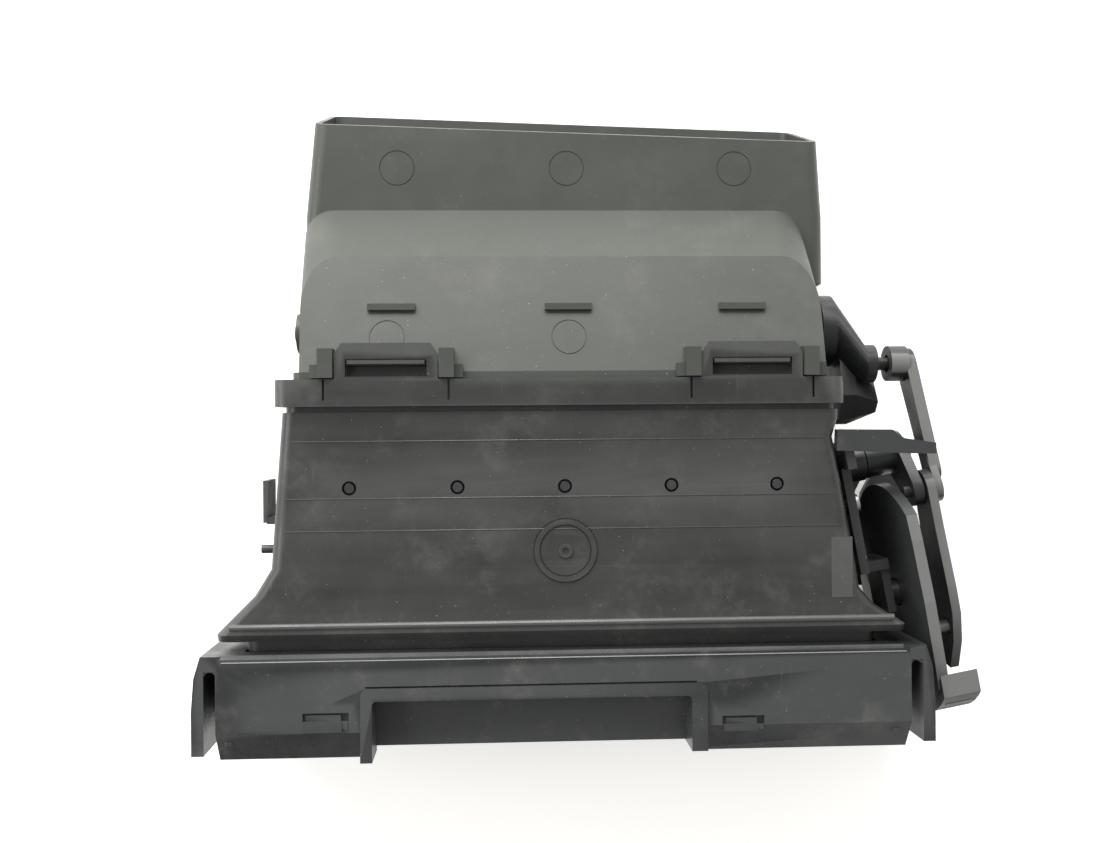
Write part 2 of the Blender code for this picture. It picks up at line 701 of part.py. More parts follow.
# ---------------------------------------------------------------- damper
def damper():
    """Flap with ribs and half an axle, two foam seals and the driven axle stub."""
    pivot = (0.0, AXLE_Y, AXLE_Z)
    left, right = FLAP_SPAN
    front, rear = AXLE_Y - FLAP_HALF_CHORD, AXLE_Y + FLAP_HALF_CHORD
    half = FLAP_THICK / 2
    flap = box(left, right, front, rear, AXLE_Z - half, AXLE_Z + half)
    unite(flap, rod("X", AXLE_Y, AXLE_Z, left, right, 4.4, 16))
    unite(flap, rod("X", AXLE_Y, AXLE_Z, -79.4, left + 2.0, AXLE_RADIUS, 16))
    rib = [
        (AXLE_Y - 20, AXLE_Z - 0.8),
        (AXLE_Y - 4, AXLE_Z - 3.4),
        (AXLE_Y + 4, AXLE_Z - 3.4),
        (AXLE_Y + 20, AXLE_Z - 0.8),
    ]
    for x in (-48.0, -24.0, 0.0, 24.0, 48.0):
        unite(flap, prism(rib, "X", x - 0.8, x + 0.8))
    cut(flap, rod("X", AXLE_Y, AXLE_Z, 52.0, 80.0, AXLE_RADIUS + 0.4, 16))
    publish(flap, "damper_flap", "vane_plastic", pivot)

    low, high = AXLE_Z + half + GAP, AXLE_Z + 2.6
    for side, name in ((-1, "damper_seal_front"), (1, "damper_seal_rear")):
        y0, y1 = sorted((AXLE_Y + side * 5.2, AXLE_Y + side * (FLAP_HALF_CHORD - 0.8)))
        publish(box(left, right, y0, y1, low, high), name, "seal_foam", pivot)

    axle = rod("X", AXLE_Y, AXLE_Z, 53.0, 84.2, AXLE_RADIUS, 16)
    cut(axle, rod("X", AXLE_Y, AXLE_Z, 74.0, 90.0, 1.3, 12))
    publish(axle, "damper_axle", "link_plastic", pivot)


def damper_crank():
    """Crank that steps outwards from its hub to the pin, with a broad stop lobe in front."""
    pin_y, pin_z = CRANK_PIN
    hub, end = (AXLE_Y, AXLE_Z, 11.0), (pin_y, pin_z, 5.7)
    rings = []
    for x, (cy, cz, radius) in ((79.6, hub), (84.0, hub), (91.5, end), (94.4, end)):
        rings.append([(x, y, z) for y, z in circle(cy, cz, radius, 24)])
    arm = loft(rings)
    rings = []
    for x, outline in ((85.0, LOBE_WIDE), (89.4, LOBE_WIDE), (96.4, LOBE_SLIM)):
        rings.append([(x, y, z) for y, z in outline])
    unite(arm, loft(rings))
    unite(arm, rod("X", pin_y, pin_z, 93.0, 107.0, 2.0, 14))
    cut(arm, rod("X", AXLE_Y, AXLE_Z, 70.0, 84.6, 2.9, 16))
    cut(arm, rod("X", AXLE_Y, AXLE_Z, 84.0, 110.0, 1.5, 12), rod("X", AXLE_Y, AXLE_Z, 87.0, 110.0, 3.4, 16))
    publish(arm, "damper_crank", "link_plastic", (0.0, AXLE_Y, AXLE_Z))
    screw = rod("X", AXLE_Y, AXLE_Z, 87.4, 89.4, 2.9, 16)
    unite(screw, rod("X", AXLE_Y, AXLE_Z, 76.0, 87.8, 1.05, 10))
    cut(screw, box(88.8, 91.0, AXLE_Y - 2.0, AXLE_Y + 2.0, AXLE_Z - 0.4, AXLE_Z + 0.4))
    publish(screw, "crank_screw", "screw_steel", (0.0, AXLE_Y, AXLE_Z))


# ---------------------------------------------------------------- side linkage
def thumbwheel():
    """Round plate with a flat top edge and a wide grip rim around its front."""
    flat = math.asin(WHEEL_FLAT / WHEEL_RADIUS)
    outline = circle(0.0, WHEEL_Z, WHEEL_RADIUS, 34, math.pi - flat, math.pi + 2 * flat)
    top = WHEEL_Z + WHEEL_FLAT
    crown = [(18.0, top + 0.9), (0.0, top + 1.7), (-18.0, top + 0.9)]
    plate = prism(outline + crown, "X", 0.0, WHEEL_THICK)
    rise = RIM_TOP - WHEEL_Z
    start, inner_start = math.pi - math.asin(rise / RIM_RADIUS), math.pi - math.asin(rise / RIM_INNER)
    end = math.radians(280)
    arc = circle(0.0, WHEEL_Z, RIM_RADIUS, 22, start, end - start)
    inner = circle(0.0, WHEEL_Z, RIM_INNER, 22, inner_start, end - inner_start)
    unite(plate, prism(arc + inner[::-1], "X", 0.4, RIM_WIDTH))
    unite(plate, rod("X", PIN_B, WHEEL_Z + PIN_Z, 2.0, 12.9, 2.0, 14))
    unite(plate, rod("X", 0.0, WHEEL_Z, 0.4, 4.4, 7.0, 20))
    cut(plate, rod("X", 0.0, WHEEL_Z, -5.0, 20.0, 4.35, 20))
    publish(to_side(plate), "thumbwheel", "link_plastic", side_point(0.0, 0.0, WHEEL_Z))
    clip = rod("X", 0.0, WHEEL_Z, 4.75, 5.75, 6.0, 20)
    cut(clip, rod("X", 0.0, WHEEL_Z, 0, 10, 2.9, 16))
    publish(to_side(clip), "wheel_retaining_clip", "link_plastic")


def capsule(b0, z0, r0, b1, z1, r1, steps=8):
    """Outline around two circles joined by their common tangents, from front to rear."""
    angle = math.atan2(z1 - z0, b1 - b0)
    lean = math.asin((r0 - r1) / math.hypot(b1 - b0, z1 - z0))
    points = circle(b1, z1, r1, steps, angle - math.pi / 2 + lean, math.pi - 2 * lean)
    points += circle(b0, z0, r0, steps, angle + math.pi / 2 - lean, math.pi + 2 * lean)
    return points


def rocker():
    pin_b, pin_z = ROCKER_B + PIN_B, WHEEL_Z + PIN_Z
    arm = prism(capsule(pin_b, pin_z, 4.6, ROCKER_B, WHEEL_Z, 7.0), "X", 6.0, 9.2)
    unite(arm, rod("X", ROCKER_B, WHEEL_Z, -3.0, 9.2, 5.6, 18))
    unite(arm, rod("X", pin_b, pin_z, 4.0, 15.3, 2.0, 14))
    cut(arm, rod("X", ROCKER_B, WHEEL_Z, -10.0, 20.0, 3.3, 16))
    publish(to_side(arm), "rocker", "link_plastic", side_point(0.0, ROCKER_B, WHEEL_Z))
    clip = rod("X", ROCKER_B, WHEEL_Z, 9.6, 10.6, 5.0, 18)
    cut(clip, rod("X", ROCKER_B, WHEEL_Z, 5, 15, 2.3, 14))
    publish(to_side(clip), "rocker_retaining_clip", "link_plastic")


def lower_link():
    """Flat link from the wheel to the rocker, with a heavy rounded front end."""
    rear_b, z = ROCKER_B + PIN_B, WHEEL_Z + PIN_Z
    outline = circle(rear_b, z, 5.6, 9, -math.pi / 2, math.pi)
    front_end = [(-6.0, z + 6.4), (-15.0, z + 3.0), (-24.0, z - 3.5), (-23.0, z - 9.0), (-12.0, z - 9.6)]
    outline += [(20.0, z + 5.7), (2.0, z + 6.6)] + front_end + [(4.0, z - 9.6), (20.0, z - 6.6)]
    link = prism(outline, "X", 9.6, 12.2)
    inner = [(12.0, b, h) for b, h in [(1.0, z + 6.55)] + front_end + [(-1.0, z - 9.55)]]
    outer = [(14.9, b, h) for b, h in [(-7.0, z + 6.3)] + front_end + [(-9.0, z - 9.5)]]
    unite(link, loft([inner, outer]))
    cut(link, rod("X", rear_b, z, 5, 20, 2.4, 14), rod("X", PIN_B, z, 5, 13.6, 2.4, 14))
    publish(to_side(link), "lower_link", "link_plastic", side_point(11.0, PIN_B, z))


def upper_link():
    """Link from the rocker to the damper crank; its bar leans outwards towards the rocker."""
    rear_y, rear_z = CRANK_PIN
    front = side_point(13.6, ROCKER_B + PIN_B, WHEEL_Z + PIN_Z)
    lean = (front.x - 109.8 + 5.7) / (rear_y - front.y)
    outline = capsule(front.y + 5.5, front.z - 1.0, 3.4, rear_y, rear_z, 4.6)

    def ring(offset):
        return [(103.0 + offset + (rear_y - y) * lean, y, z) for y, z in outline]

    bar = loft([ring(0.0), ring(3.3)])
    unite(bar, rod("X", rear_y, rear_z, 98.6, 104.0, 5.3, 18))
    pin_b, pin_z = ROCKER_B + PIN_B, WHEEL_Z + PIN_Z
    eye = capsule(pin_b, pin_z, 4.6, pin_b + 7.0, pin_z - 1.2, 3.0)
    unite(bar, to_side(prism(eye, "X", 12.5, 14.7)))
    cut(bar, rod("X", rear_y, rear_z, 90.0, 115.0, 2.6, 14))
    cut(bar, to_side(rod("X", pin_b, pin_z, 8.0, 20.0, 2.4, 14)))
    clear = circle(pin_b, pin_z, 6.2, 18)
    cut(bar, to_side(prism(clear, "X", 6.0, 12.48)))
    publish(bar, "upper_link", "link_plastic", front)


def side_carrier():
    """Bracket on the housing's right wall that holds the wheel's and the rocker's studs."""
    inner, outer = CARRIER_PLATE
    plate = box(inner, outer, 10.0, 47.0, SHELF_LOW, 53.0)
    step = box(inner, -3.2, 9.0, 12.0, 30.0, 46.0)
    arm = box(-5.6, -3.2, -4.2, 12.0, 31.0, 45.0)
    unite(plate, step, arm)
    for b, z in screw_places():
        unite(plate, rod("X", b, z, -16.4, -13.0, 3.2, 14))
    unite(plate, rod("X", 0.0, WHEEL_Z, -4.0, 4.4, 4.0, 20))
    unite(plate, rod("X", 0.0, WHEEL_Z, 4.0, 6.4, 2.5, 16))
    unite(plate, rod("X", ROCKER_B, WHEEL_Z, -12.0, -3.4, 6.0, 18))
    unite(plate, rod("X", ROCKER_B, WHEEL_Z, -4.0, 9.3, 2.95, 16))
    unite(plate, rod("X", ROCKER_B, WHEEL_Z, 9.0, 11.2, 2.0, 14))
    for b, z in screw_places():
        cut(plate, rod("X", b, z, -20.0, -5.0, 1.5, 10))
    to_side(plate)
    unite(plate, prism(SHELF_OUTLINE, "Z", SHELF_LOW, SHELF_HIGH))
    unite(plate, prism(BEAM_OUTLINE, "Z", 58.6, 61.6))
    corners = ((inner, 41.5), (outer, 41.5), (outer, 47.0), (inner, 47.0))
    prop = [side_point(a, b, 0.0)[:2] for a, b in corners]
    unite(plate, prism(prop, "Z", 48.0, 60.0))
    publish(plate, "side_carrier", "link_plastic")
    for index, (b, z) in enumerate(screw_places(), 1):
        screw = rod("X", b, z, -11.1, -9.3, 2.8, 16)
        unite(screw, rod("X", b, z, -18.6, -10.8, 1.1, 10))
        cut(screw, box(-9.8, -8.0, b - 2.0, b + 2.0, z - 0.4, z + 0.4))
        publish(to_side(screw), f"carrier_screw_{index}", "screw_steel")


def main():
    clear_scene()
    make_materials()
    housing_upper()
    housing_lower()
    duct_adapter()
    front_frame()
    for index, x in enumerate(vane_positions(), 1):
        vertical_vane(index, x)
    vane_tie_bar()
    for index, z in enumerate(blade_heights(), 1):
        horizontal_vane(index, z)
    vane_side_link()
    vane_bearing(-1, "vane_bearing_left")
    vane_bearing(1, "vane_bearing_right")
    slider_knob()
    damper()
    damper_crank()
    thumbwheel()
    rocker()
    lower_link()
    upper_link()
    side_carrier()


main()
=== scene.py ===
"""Looks of the dashboard air vent: detailed pieces, materials, floor, lights and camera.

Lengths are written in millimetres and become metres when a mesh is made.
-Y is the outlet, +Y the duct mouth, +X the side that carries the linkage, +Z is up.
"""
import json
import math

import bmesh
import bpy
from mathutils import Matrix, Vector


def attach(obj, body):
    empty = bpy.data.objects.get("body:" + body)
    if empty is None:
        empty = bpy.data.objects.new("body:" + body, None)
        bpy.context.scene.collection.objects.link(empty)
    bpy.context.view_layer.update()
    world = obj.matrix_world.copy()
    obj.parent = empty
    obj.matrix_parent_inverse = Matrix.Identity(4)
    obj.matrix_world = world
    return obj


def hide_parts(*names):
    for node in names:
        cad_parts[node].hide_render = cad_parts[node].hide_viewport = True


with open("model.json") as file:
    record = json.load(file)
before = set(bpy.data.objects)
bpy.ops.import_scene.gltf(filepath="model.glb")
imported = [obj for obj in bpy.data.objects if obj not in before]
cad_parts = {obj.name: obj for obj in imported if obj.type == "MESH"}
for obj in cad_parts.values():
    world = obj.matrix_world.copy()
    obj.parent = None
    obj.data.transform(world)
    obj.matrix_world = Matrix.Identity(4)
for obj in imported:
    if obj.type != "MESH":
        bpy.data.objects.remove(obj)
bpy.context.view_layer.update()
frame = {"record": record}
BODY_OF = {}
for body, nodes in frame["record"]["behaviour"]["bodies"].items():
    for node in nodes:
        BODY_OF[node] = body

FINE = 3                     # how much finer arcs are than the fixed frame's
MM = 0.001
GAP = 0.3                    # room left between two pieces that touch
BROAD_FACE = 45.0            # faces above this area, in square millimetres, stay flat

# Main housing: two half shells, split at mid height
HOUSING_TOP = 62.0
HOUSING_LOW = 2.0
HOUSING_MID = 32.0
EDGE_RADIUS = 3.4
COLLAR_FRONT = 83.4
COLLAR_REAR = 90.9
COLLAR_RISE = 2.0            # how far the collar stands above the housing
NECK_FRONT = 12.4
NECK_REAR = 18.5
FLARE_RIDGE = 20.5

# Snap tongues on the collar
TONGUE_CENTRES = (-49.4, 52.8)
TONGUE_WIDTH = 28.5
TONGUE_END = 100.9
WINDOW_WIDTH = 22.5
WINDOW_FRONT = 91.6
WINDOW_REAR = 96.5

# Duct adapter
ADAPTER_FRONT = 85.3
ADAPTER_WALL = 2.0
ADAPTER_LOW = 2.6
ADAPTER_HIGH = 61.6
ADAPTER_LEFT = -75.6
ADAPTER_RIGHT = 74.6
SLOPE_START = 93.0
RAMP_TOP = 126.5             # rear edge of the tall section
RAMP_TOP_HEIGHT = 51.5
RAMP_FOOT = 142.6
DUCT_TOP = 36.0
MOUTH_TOP = 166.0            # rear end of the duct's top wall
MOUTH_BOTTOM = 177.3
MOUTH_YAW = math.radians(1.85)
MOUTH_SHIFT = 2.9

# Front frame
FRAME_TOP = 64.0
FRAME_REAR = 15.0
FRAME_FRONT = -14.8
FINGER_FRONT = -12.3
PLATE_LEFT = -96.7
PLATE_RIGHT = 97.4
PLATE = 3.0
SLOT_REAR = 10.8             # rear end of the slot beside each finger
SLOPE_FRONT = -6.6
CUTOUT = (-54.0, 34.9)       # inner faces of the recess in the top plate
CUTOUT_REAR = 1.9
RIM_LEFT = 3.3
RIM_RIGHT = 4.5
RIM_REAR = 3.6
CUTOUT_FLOOR = 53.5

# Vertical vanes
VANE_PITCH = 30.0
VANE_COUNT = 5
VANE_PIVOT_Y = 60.7
VANE_FRONT = 15.5
VANE_THICK = 1.8
VANE_PIN_RADIUS = 1.35
VANE_HOLE_RADIUS = 2.0
TIE_OFFSET = 11.0            # vane pivots to the tie bar's pins
FORK_BAR_INSET = 1.2         # centre vane's front edge to the middle of its fork bar
FORK_REACH = 54.0            # rear end of the knob's fork
TIE_LOW = 8.4
TIE_HIGH = 10.4

# Horizontal vanes
BLADE_COUNT = 5
BLADE_FIRST_Z = 10.5
BLADE_PITCH = 9.0
BLADE_Y = 2.0
BLADE_CHORD = 16.0
BLADE_HALF_SPAN = 85.5
BLADE_THICK = 1.8
LINK_OFFSET = 5.0

# Damper and its linkage
AXLE_Y = 106.0
AXLE_Z = 31.0
AXLE_RADIUS = 2.5
FLAP_HALF_CHORD = 25.2
FLAP_SPAN = (-71.2, 71.2)
FLAP_THICK = 1.8
CRANK_RADIUS = 15.0
PIN_OFFSET = CRANK_RADIUS * math.sqrt(0.5)
CRANK_PIN = (AXLE_Y - PIN_OFFSET, AXLE_Z + PIN_OFFSET)
SIDE_TILT = math.radians(10.4)
SIDE_ORIGIN = Vector((102.4, 26.0, 0.0))
WHEEL_Z = 38.0
WHEEL_RADIUS = 33.2
WHEEL_FLAT = 21.5
WHEEL_THICK = 3.2
RIM_WIDTH = 11.2
RIM_RADIUS = 36.2
RIM_INNER = 31.6
RIM_TOP = 61.6
GRIP_GROOVES = 18
CARRIER_PLATE = (-14.0, -11.4)
ROCKER_B = 41.35             # distance from the wheel's axis to the rocker's
PIN_B = -PIN_OFFSET
PIN_Z = PIN_OFFSET

# Stop lobe of the damper crank, at its broad inner end and its narrow outer end: (y, z)
LOBE_WIDE = (
    (103.0, 25.0),
    (98.0, 21.0),
    (88.0, 19.0),
    (80.0, 24.0),
    (77.2, 31.0),
    (79.0, 38.0),
    (86.0, 42.0),
    (96.0, 40.0),
    (103.0, 36.0),
)
LOBE_SLIM = (
    (93.8, 33.4),
    (93.0, 33.0),
    (88.0, 32.0),
    (83.0, 33.0),
    (80.6, 35.0),
    (80.8, 38.0),
    (84.0, 40.6),
    (87.6, 38.2),
    (92.8, 34.8),
)

# Shelf low on the side carrier, with a curved bay behind the wheel: (x, y)
SHELF_OUTLINE = (
    (86.5, 32.5),
    (90.8, 27.3),
    (95.5, 24.0),
    (101.2, 24.0),
    (98.4, 42.0),
    (98.5, 46.9),
    (99.1, 55.1),
    (101.8, 60.3),
    (105.2, 63.9),
    (106.9, 63.6),
    (104.2, 59.6),
    (101.4, 54.4),
    (100.4, 46.8),
    (117.0, 46.8),
    (118.0, 68.0),
    (82.0, 72.0),
)
# Beam across the top of the side carrier: (x, y)
BEAM_OUTLINE = (
    (77.6, 75.9),
    (93.6, 75.7),
    (95.8, 73.4),
    (106.0, 71.9),
    (106.0, 68.8),
    (99.0, 68.9),
    (77.3, 69.9),
)
SHELF_LOW = 6.5
SHELF_HIGH = 9.0


def mesh_object(bm, name="work"):
    bmesh.ops.recalc_face_normals(bm, faces=bm.faces)
    mesh = bpy.data.meshes.new(name)
    bm.to_mesh(mesh)
    bm.free()
    obj = bpy.data.objects.new(name, mesh)
    bpy.context.scene.collection.objects.link(obj)
    return obj


def loft(rings):
    """Closed solid through rings of equally many points, capped at both ends."""
    bm = bmesh.new()
    loops = [[bm.verts.new(Vector(p) * MM) for p in ring] for ring in rings]
    count = len(loops[0])
    for low, high in zip(loops, loops[1:]):
        for i in range(count):
            j = (i + 1) % count
            bm.faces.new((low[i], low[j], high[j], high[i]))
    bm.faces.new(loops[0])
    bm.faces.new(reversed(loops[-1]))
    bmesh.ops.remove_doubles(bm, verts=bm.verts, dist=0.0001 * MM)
    return mesh_object(bm)


def prism(points, axis, low, high):
    """Outline in the plane across an axis, extruded along it from low to high."""
    place = {
        "X": lambda p, d: (d, p[0], p[1]),
        "Y": lambda p, d: (p[0], d, p[1]),
        "Z": lambda p, d: (p[0], p[1], d),
    }[axis]
    return loft([[place(p, low) for p in points], [place(p, high) for p in points]])


def box(x0, x1, y0, y1, z0, z1):
    return prism([(x0, y0), (x1, y0), (x1, y1), (x0, y1)], "Z", z0, z1)


def circle(cx, cy, radius, count=20, start=0.0, sweep=2 * math.pi):
    """Points on a circle, or on an arc when sweep is less than a full turn."""
    full = abs(sweep) > 6.28
    steps = (count if full else count - 1) * FINE
    angles = [start + sweep * i / steps for i in range(steps if full else steps + 1)]
    return [(cx + radius * math.cos(a), cy + radius * math.sin(a)) for a in angles]


def rod(axis, u, v, low, high, radius, count=16):
    """Cylinder along X, Y or Z; u and v place it in the plane across that axis."""
    return prism(circle(u, v, radius, count), axis, low, high)


def round_rect(x0, x1, z0, z1, radius, steps=3):
    """Rounded rectangle, anticlockwise from its lower left corner."""
    points = []
    corners = ((x1, z0, -90), (x1, z1, 0), (x0, z1, 90), (x0, z0, 180))
    for x, z, angle in corners:
        cx = x - math.copysign(radius, x - (x0 + x1) / 2)
        cz = z - math.copysign(radius, z - (z0 + z1) / 2)
        points += circle(cx, cz, radius, steps + 1, math.radians(angle), math.pi / 2)
    return points


def boolean(target, tool, operation):
    modifier = target.modifiers.new("boolean", "BOOLEAN")
    modifier.operation = operation
    modifier.solver = "EXACT"
    modifier.object = tool
    graph = bpy.context.evaluated_depsgraph_get()
    mesh = bpy.data.meshes.new_from_object(target.evaluated_get(graph))
    target.modifiers.clear()
    target.data = mesh
    bpy.data.objects.remove(tool, do_unlink=True)
    return target


def cut(target, *tools):
    for tool in tools:
        boolean(target, tool, "DIFFERENCE")
    return target


def unite(target, *tools):
    for tool in tools:
        boolean(target, tool, "UNION")
    return target


def side_matrix():
    """Frame of the inclined linkage plane: a outward, b rearward, z up."""
    outward = Vector((math.cos(SIDE_TILT), math.sin(SIDE_TILT), 0.0))
    rearward = Vector((-math.sin(SIDE_TILT), math.cos(SIDE_TILT), 0.0))
    matrix = Matrix((outward, rearward, Vector((0.0, 0.0, 1.0)))).transposed().to_4x4()
    matrix.translation = SIDE_ORIGIN * MM
    return matrix


def to_side(obj):
    """Move a solid made with x=a, y=b, z=z into the linkage plane."""
    obj.data.transform(side_matrix())
    return obj


def side_point(a, b, z):
    return side_matrix() @ (Vector((a, b, z)) * MM) / MM


def measure(obj):
    """Volume, lowest and highest corner, and area of triangles that face the wrong way."""
    graph = bpy.context.evaluated_depsgraph_get()
    mesh = obj.evaluated_get(graph).to_mesh()
    bm = bmesh.new()
    bm.from_mesh(mesh)
    volume = bm.calc_volume()
    bm.free()
    points = [v.co for v in mesh.vertices]
    low = Vector(min(p[i] for p in points) for i in range(3))
    high = Vector(max(p[i] for p in points) for i in range(3))
    mesh.calc_loop_triangles()
    wrong = 0.0
    for triangle in mesh.loop_triangles:
        if triangle.normal.dot(mesh.polygons[triangle.polygon_index].normal) < 0.7:
            wrong += triangle.area
    obj.evaluated_get(graph).to_mesh_clear()
    return volume, low, high, wrong


def soften(obj, width, angle):
    """Round the edges as moulding does, as far as the small features allow."""
    volume, low, high, wrong = measure(obj)
    limit = wrong + 0.02 * MM * MM
    for share, clamp in ((1.0, False), (0.6, False), (0.35, False), (1.0, True)):
        bevel = obj.modifiers.new("soft_edges", "BEVEL")
        bevel.width = width * share * MM
        bevel.segments = 2
        bevel.limit_method = "ANGLE"
        bevel.angle_limit = math.radians(angle)
        bevel.use_clamp_overlap = clamp
        bevel.harden_normals = True
        new_volume, new_low, new_high, new_wrong = measure(obj)
        inside = all(new_low[i] > low[i] - 0.01 * MM and new_high[i] < high[i] + 0.01 * MM for i in range(3))
        if inside and abs(new_volume - volume) < 0.04 * volume and new_wrong < limit:
            return
        obj.modifiers.remove(bevel)


def tidy_mesh(obj):
    """Merge doubled points left by the cuts."""
    bm = bmesh.new()
    bm.from_mesh(obj.data)
    bmesh.ops.remove_doubles(bm, verts=bm.verts, dist=0.004 * MM)
    bm.to_mesh(obj.data)
    bm.free()


def publish(obj, name, material, edge=0.22, crease=32):
    """Let a finished piece stand for its fixed node, with its material and soft edges."""
    tidy_mesh(obj)
    piece(obj, name + "_look", BODY_OF[name], material, edge, crease)
    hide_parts(name)
    return obj


def piece(obj, name, body, material, edge=0.15, crease=32):
    """Name a piece, let it ride on a body, and give it a material, shading and soft edges."""
    obj.name = name
    obj.data.name = name
    obj.data.materials.clear()
    obj.data.materials.append(MATERIALS[material])
    obj.data.shade_smooth()
    obj.data.set_sharp_from_angle(angle=math.radians(crease))
    for polygon in obj.data.polygons:
        polygon.use_smooth = polygon.area < BROAD_FACE * MM * MM
    if edge:
        soften(obj, edge, crease)
    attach(obj, body)
    return obj


# ---------------------------------------------------------------- materials
class Graph:
    """Small helper that adds shader nodes and links them."""

    def __init__(self, name):
        self.material = bpy.data.materials.new(name)
        self.material.use_nodes = True
        self.tree = self.material.node_tree
        self.shader = self.tree.nodes["Principled BSDF"]
        self.coords = self.tree.nodes.new("ShaderNodeTexCoord").outputs["Object"]

    def link(self, output, socket):
        self.tree.links.new(output, socket)

    def noise(self, scale, detail=3.0, rough=0.55, stretch=(1, 1, 1), turn=0.0, shift=0.0):
        mapping = self.tree.nodes.new("ShaderNodeMapping")
        mapping.inputs["Scale"].default_value = stretch
        mapping.inputs["Rotation"].default_value = (0.0, 0.0, turn)
        mapping.inputs["Location"].default_value = (shift, shift * 0.7, shift * 0.3)
        noise = self.tree.nodes.new("ShaderNodeTexNoise")
        noise.inputs["Scale"].default_value = scale
        noise.inputs["Detail"].default_value = detail
        noise.inputs["Roughness"].default_value = rough
        self.link(self.coords, mapping.inputs["Vector"])
        self.link(mapping.outputs["Vector"], noise.inputs["Vector"])
        return noise.outputs["Fac"]

    def ramp(self, value, low, high, start=0.0, end=1.0):
        node = self.tree.nodes.new("ShaderNodeMapRange")
        node.interpolation_type = "SMOOTHSTEP"
        node.inputs["From Min"].default_value = low
        node.inputs["From Max"].default_value = high
        node.inputs["To Min"].default_value = start
        node.inputs["To Max"].default_value = end
        self.link(value, node.inputs["Value"])
        return node.outputs["Result"]

    def mix(self, factor, first, second):
        node = self.tree.nodes.new("ShaderNodeMix")
        node.data_type = "RGBA"
        for socket, value in ((node.inputs[0], factor), (node.inputs[6], first), (node.inputs[7], second)):
            if isinstance(value, (int, float)):
                socket.default_value = value
            elif isinstance(value, tuple):
                socket.default_value = (*value, 1.0)
            else:
                self.link(value, socket)
        return node.outputs[2]

    def math(self, operation, first, second):
        node = self.tree.nodes.new("ShaderNodeMath")
        node.operation = operation
        for socket, value in zip(node.inputs, (first, second)):
            if isinstance(value, (int, float)):
                socket.default_value = value
            else:
                self.link(value, socket)
        return node.outputs[0]

    def up(self):
        """How far the surface faces up, from 0 to 1."""
        split = self.tree.nodes.new("ShaderNodeSeparateXYZ")
        self.link(self.tree.nodes.new("ShaderNodeNewGeometry").outputs["Normal"], split.inputs[0])
        return self.ramp(split.outputs["Z"], 0.2, 0.95)

    def edges(self, low, high):
        """Worn edges, from the mesh's own sharpness."""
        return self.ramp(self.tree.nodes.new("ShaderNodeNewGeometry").outputs["Pointiness"], low, high)

    def bump(self, height, strength, distance, before=None):
        node = self.tree.nodes.new("ShaderNodeBump")
        node.inputs["Strength"].default_value = strength
        node.inputs["Distance"].default_value = distance * MM
        self.link(height, node.inputs["Height"])
        if before is not None:
            self.link(before, node.inputs["Normal"])
        return node.outputs["Normal"]


def plastic(name, dark, light, roughness, spread=0.12, grain=2600.0, grain_depth=0.03, dust=0.25, painted_top_light=0.0):
    """Moulded plastic: mottled tone, flow marks, fine grain, rubbed edges, specks of dust, and painted top
    light on nearly flat upward faces where asked.
    """
    g = Graph(name)
    mottle = g.ramp(g.noise(22.0, 4.0, 0.6, shift=3.1), 0.30, 0.72)
    flow = g.ramp(g.noise(30.0, 3.0, 0.5, stretch=(0.5, 5.0, 1.0), shift=1.7), 0.38, 0.66)
    tone = g.math("ADD", g.math("MULTIPLY", mottle, 0.6), g.math("MULTIPLY", flow, 0.4))
    colour = g.mix(tone, dark, light)
    rub = tuple(min(1.0, c * 2.4 + 0.01) for c in light)
    colour = g.mix(g.math("MULTIPLY", g.edges(0.52, 0.60), 0.45), colour, rub)
    scratch = g.noise(140.0, 2.0, 0.6, stretch=(9.0, 0.35, 1.0), turn=0.5, shift=0.9)
    colour = g.mix(g.math("MULTIPLY", g.ramp(scratch, 0.70, 0.76), 0.25), colour, rub)
    haze = g.ramp(g.noise(55.0, 6.0, 0.7, shift=5.3), 0.50, 0.75)
    haze = g.math("MULTIPLY", g.math("MULTIPLY", haze, g.up()), dust)
    colour = g.mix(haze, colour, (0.11, 0.11, 0.10))
    # Painted top light: nearly flat upward faces are lightened to stand in for light falling on them, so the
    # sides read as shaded
    if painted_top_light:
        colour = g.mix(g.math("MULTIPLY", g.ramp(g.up(), 0.90, 0.99), painted_top_light), colour, (0.17, 0.17, 0.165))
    specks = g.ramp(g.noise(1500.0, 1.0, 0.4, shift=7.7), 0.775, 0.80)
    specks = g.math("MULTIPLY", g.math("MULTIPLY", specks, g.up()), 0.5)
    colour = g.mix(specks, colour, (0.34, 0.33, 0.30))
    g.link(colour, g.shader.inputs["Base Color"])
    wet = g.ramp(g.noise(34.0, 5.0, 0.65, shift=9.1), 0.35, 0.70, roughness - spread, roughness + spread)
    g.link(wet, g.shader.inputs["Roughness"])
    g.shader.inputs["Specular IOR Level"].default_value = 0.5
    fine = g.noise(grain, 2.0, 0.6)
    soft = g.noise(240.0, 3.0, 0.5, shift=2.3)
    normal = g.bump(fine, 0.6, grain_depth)
    normal = g.bump(soft, 0.35, grain_depth * 3.0, normal)
    g.link(normal, g.shader.inputs["Normal"])
    return g.material


def foam(name):
    g = Graph(name)
    cells = g.noise(1500.0, 3.0, 0.7)
    tone = g.mix(g.ramp(cells, 0.35, 0.65), (0.006, 0.006, 0.006), (0.030, 0.030, 0.030))
    g.link(tone, g.shader.inputs["Base Color"])
    g.shader.inputs["Roughness"].default_value = 0.95
    g.link(g.bump(cells, 0.9, 0.25), g.shader.inputs["Normal"])
    return g.material


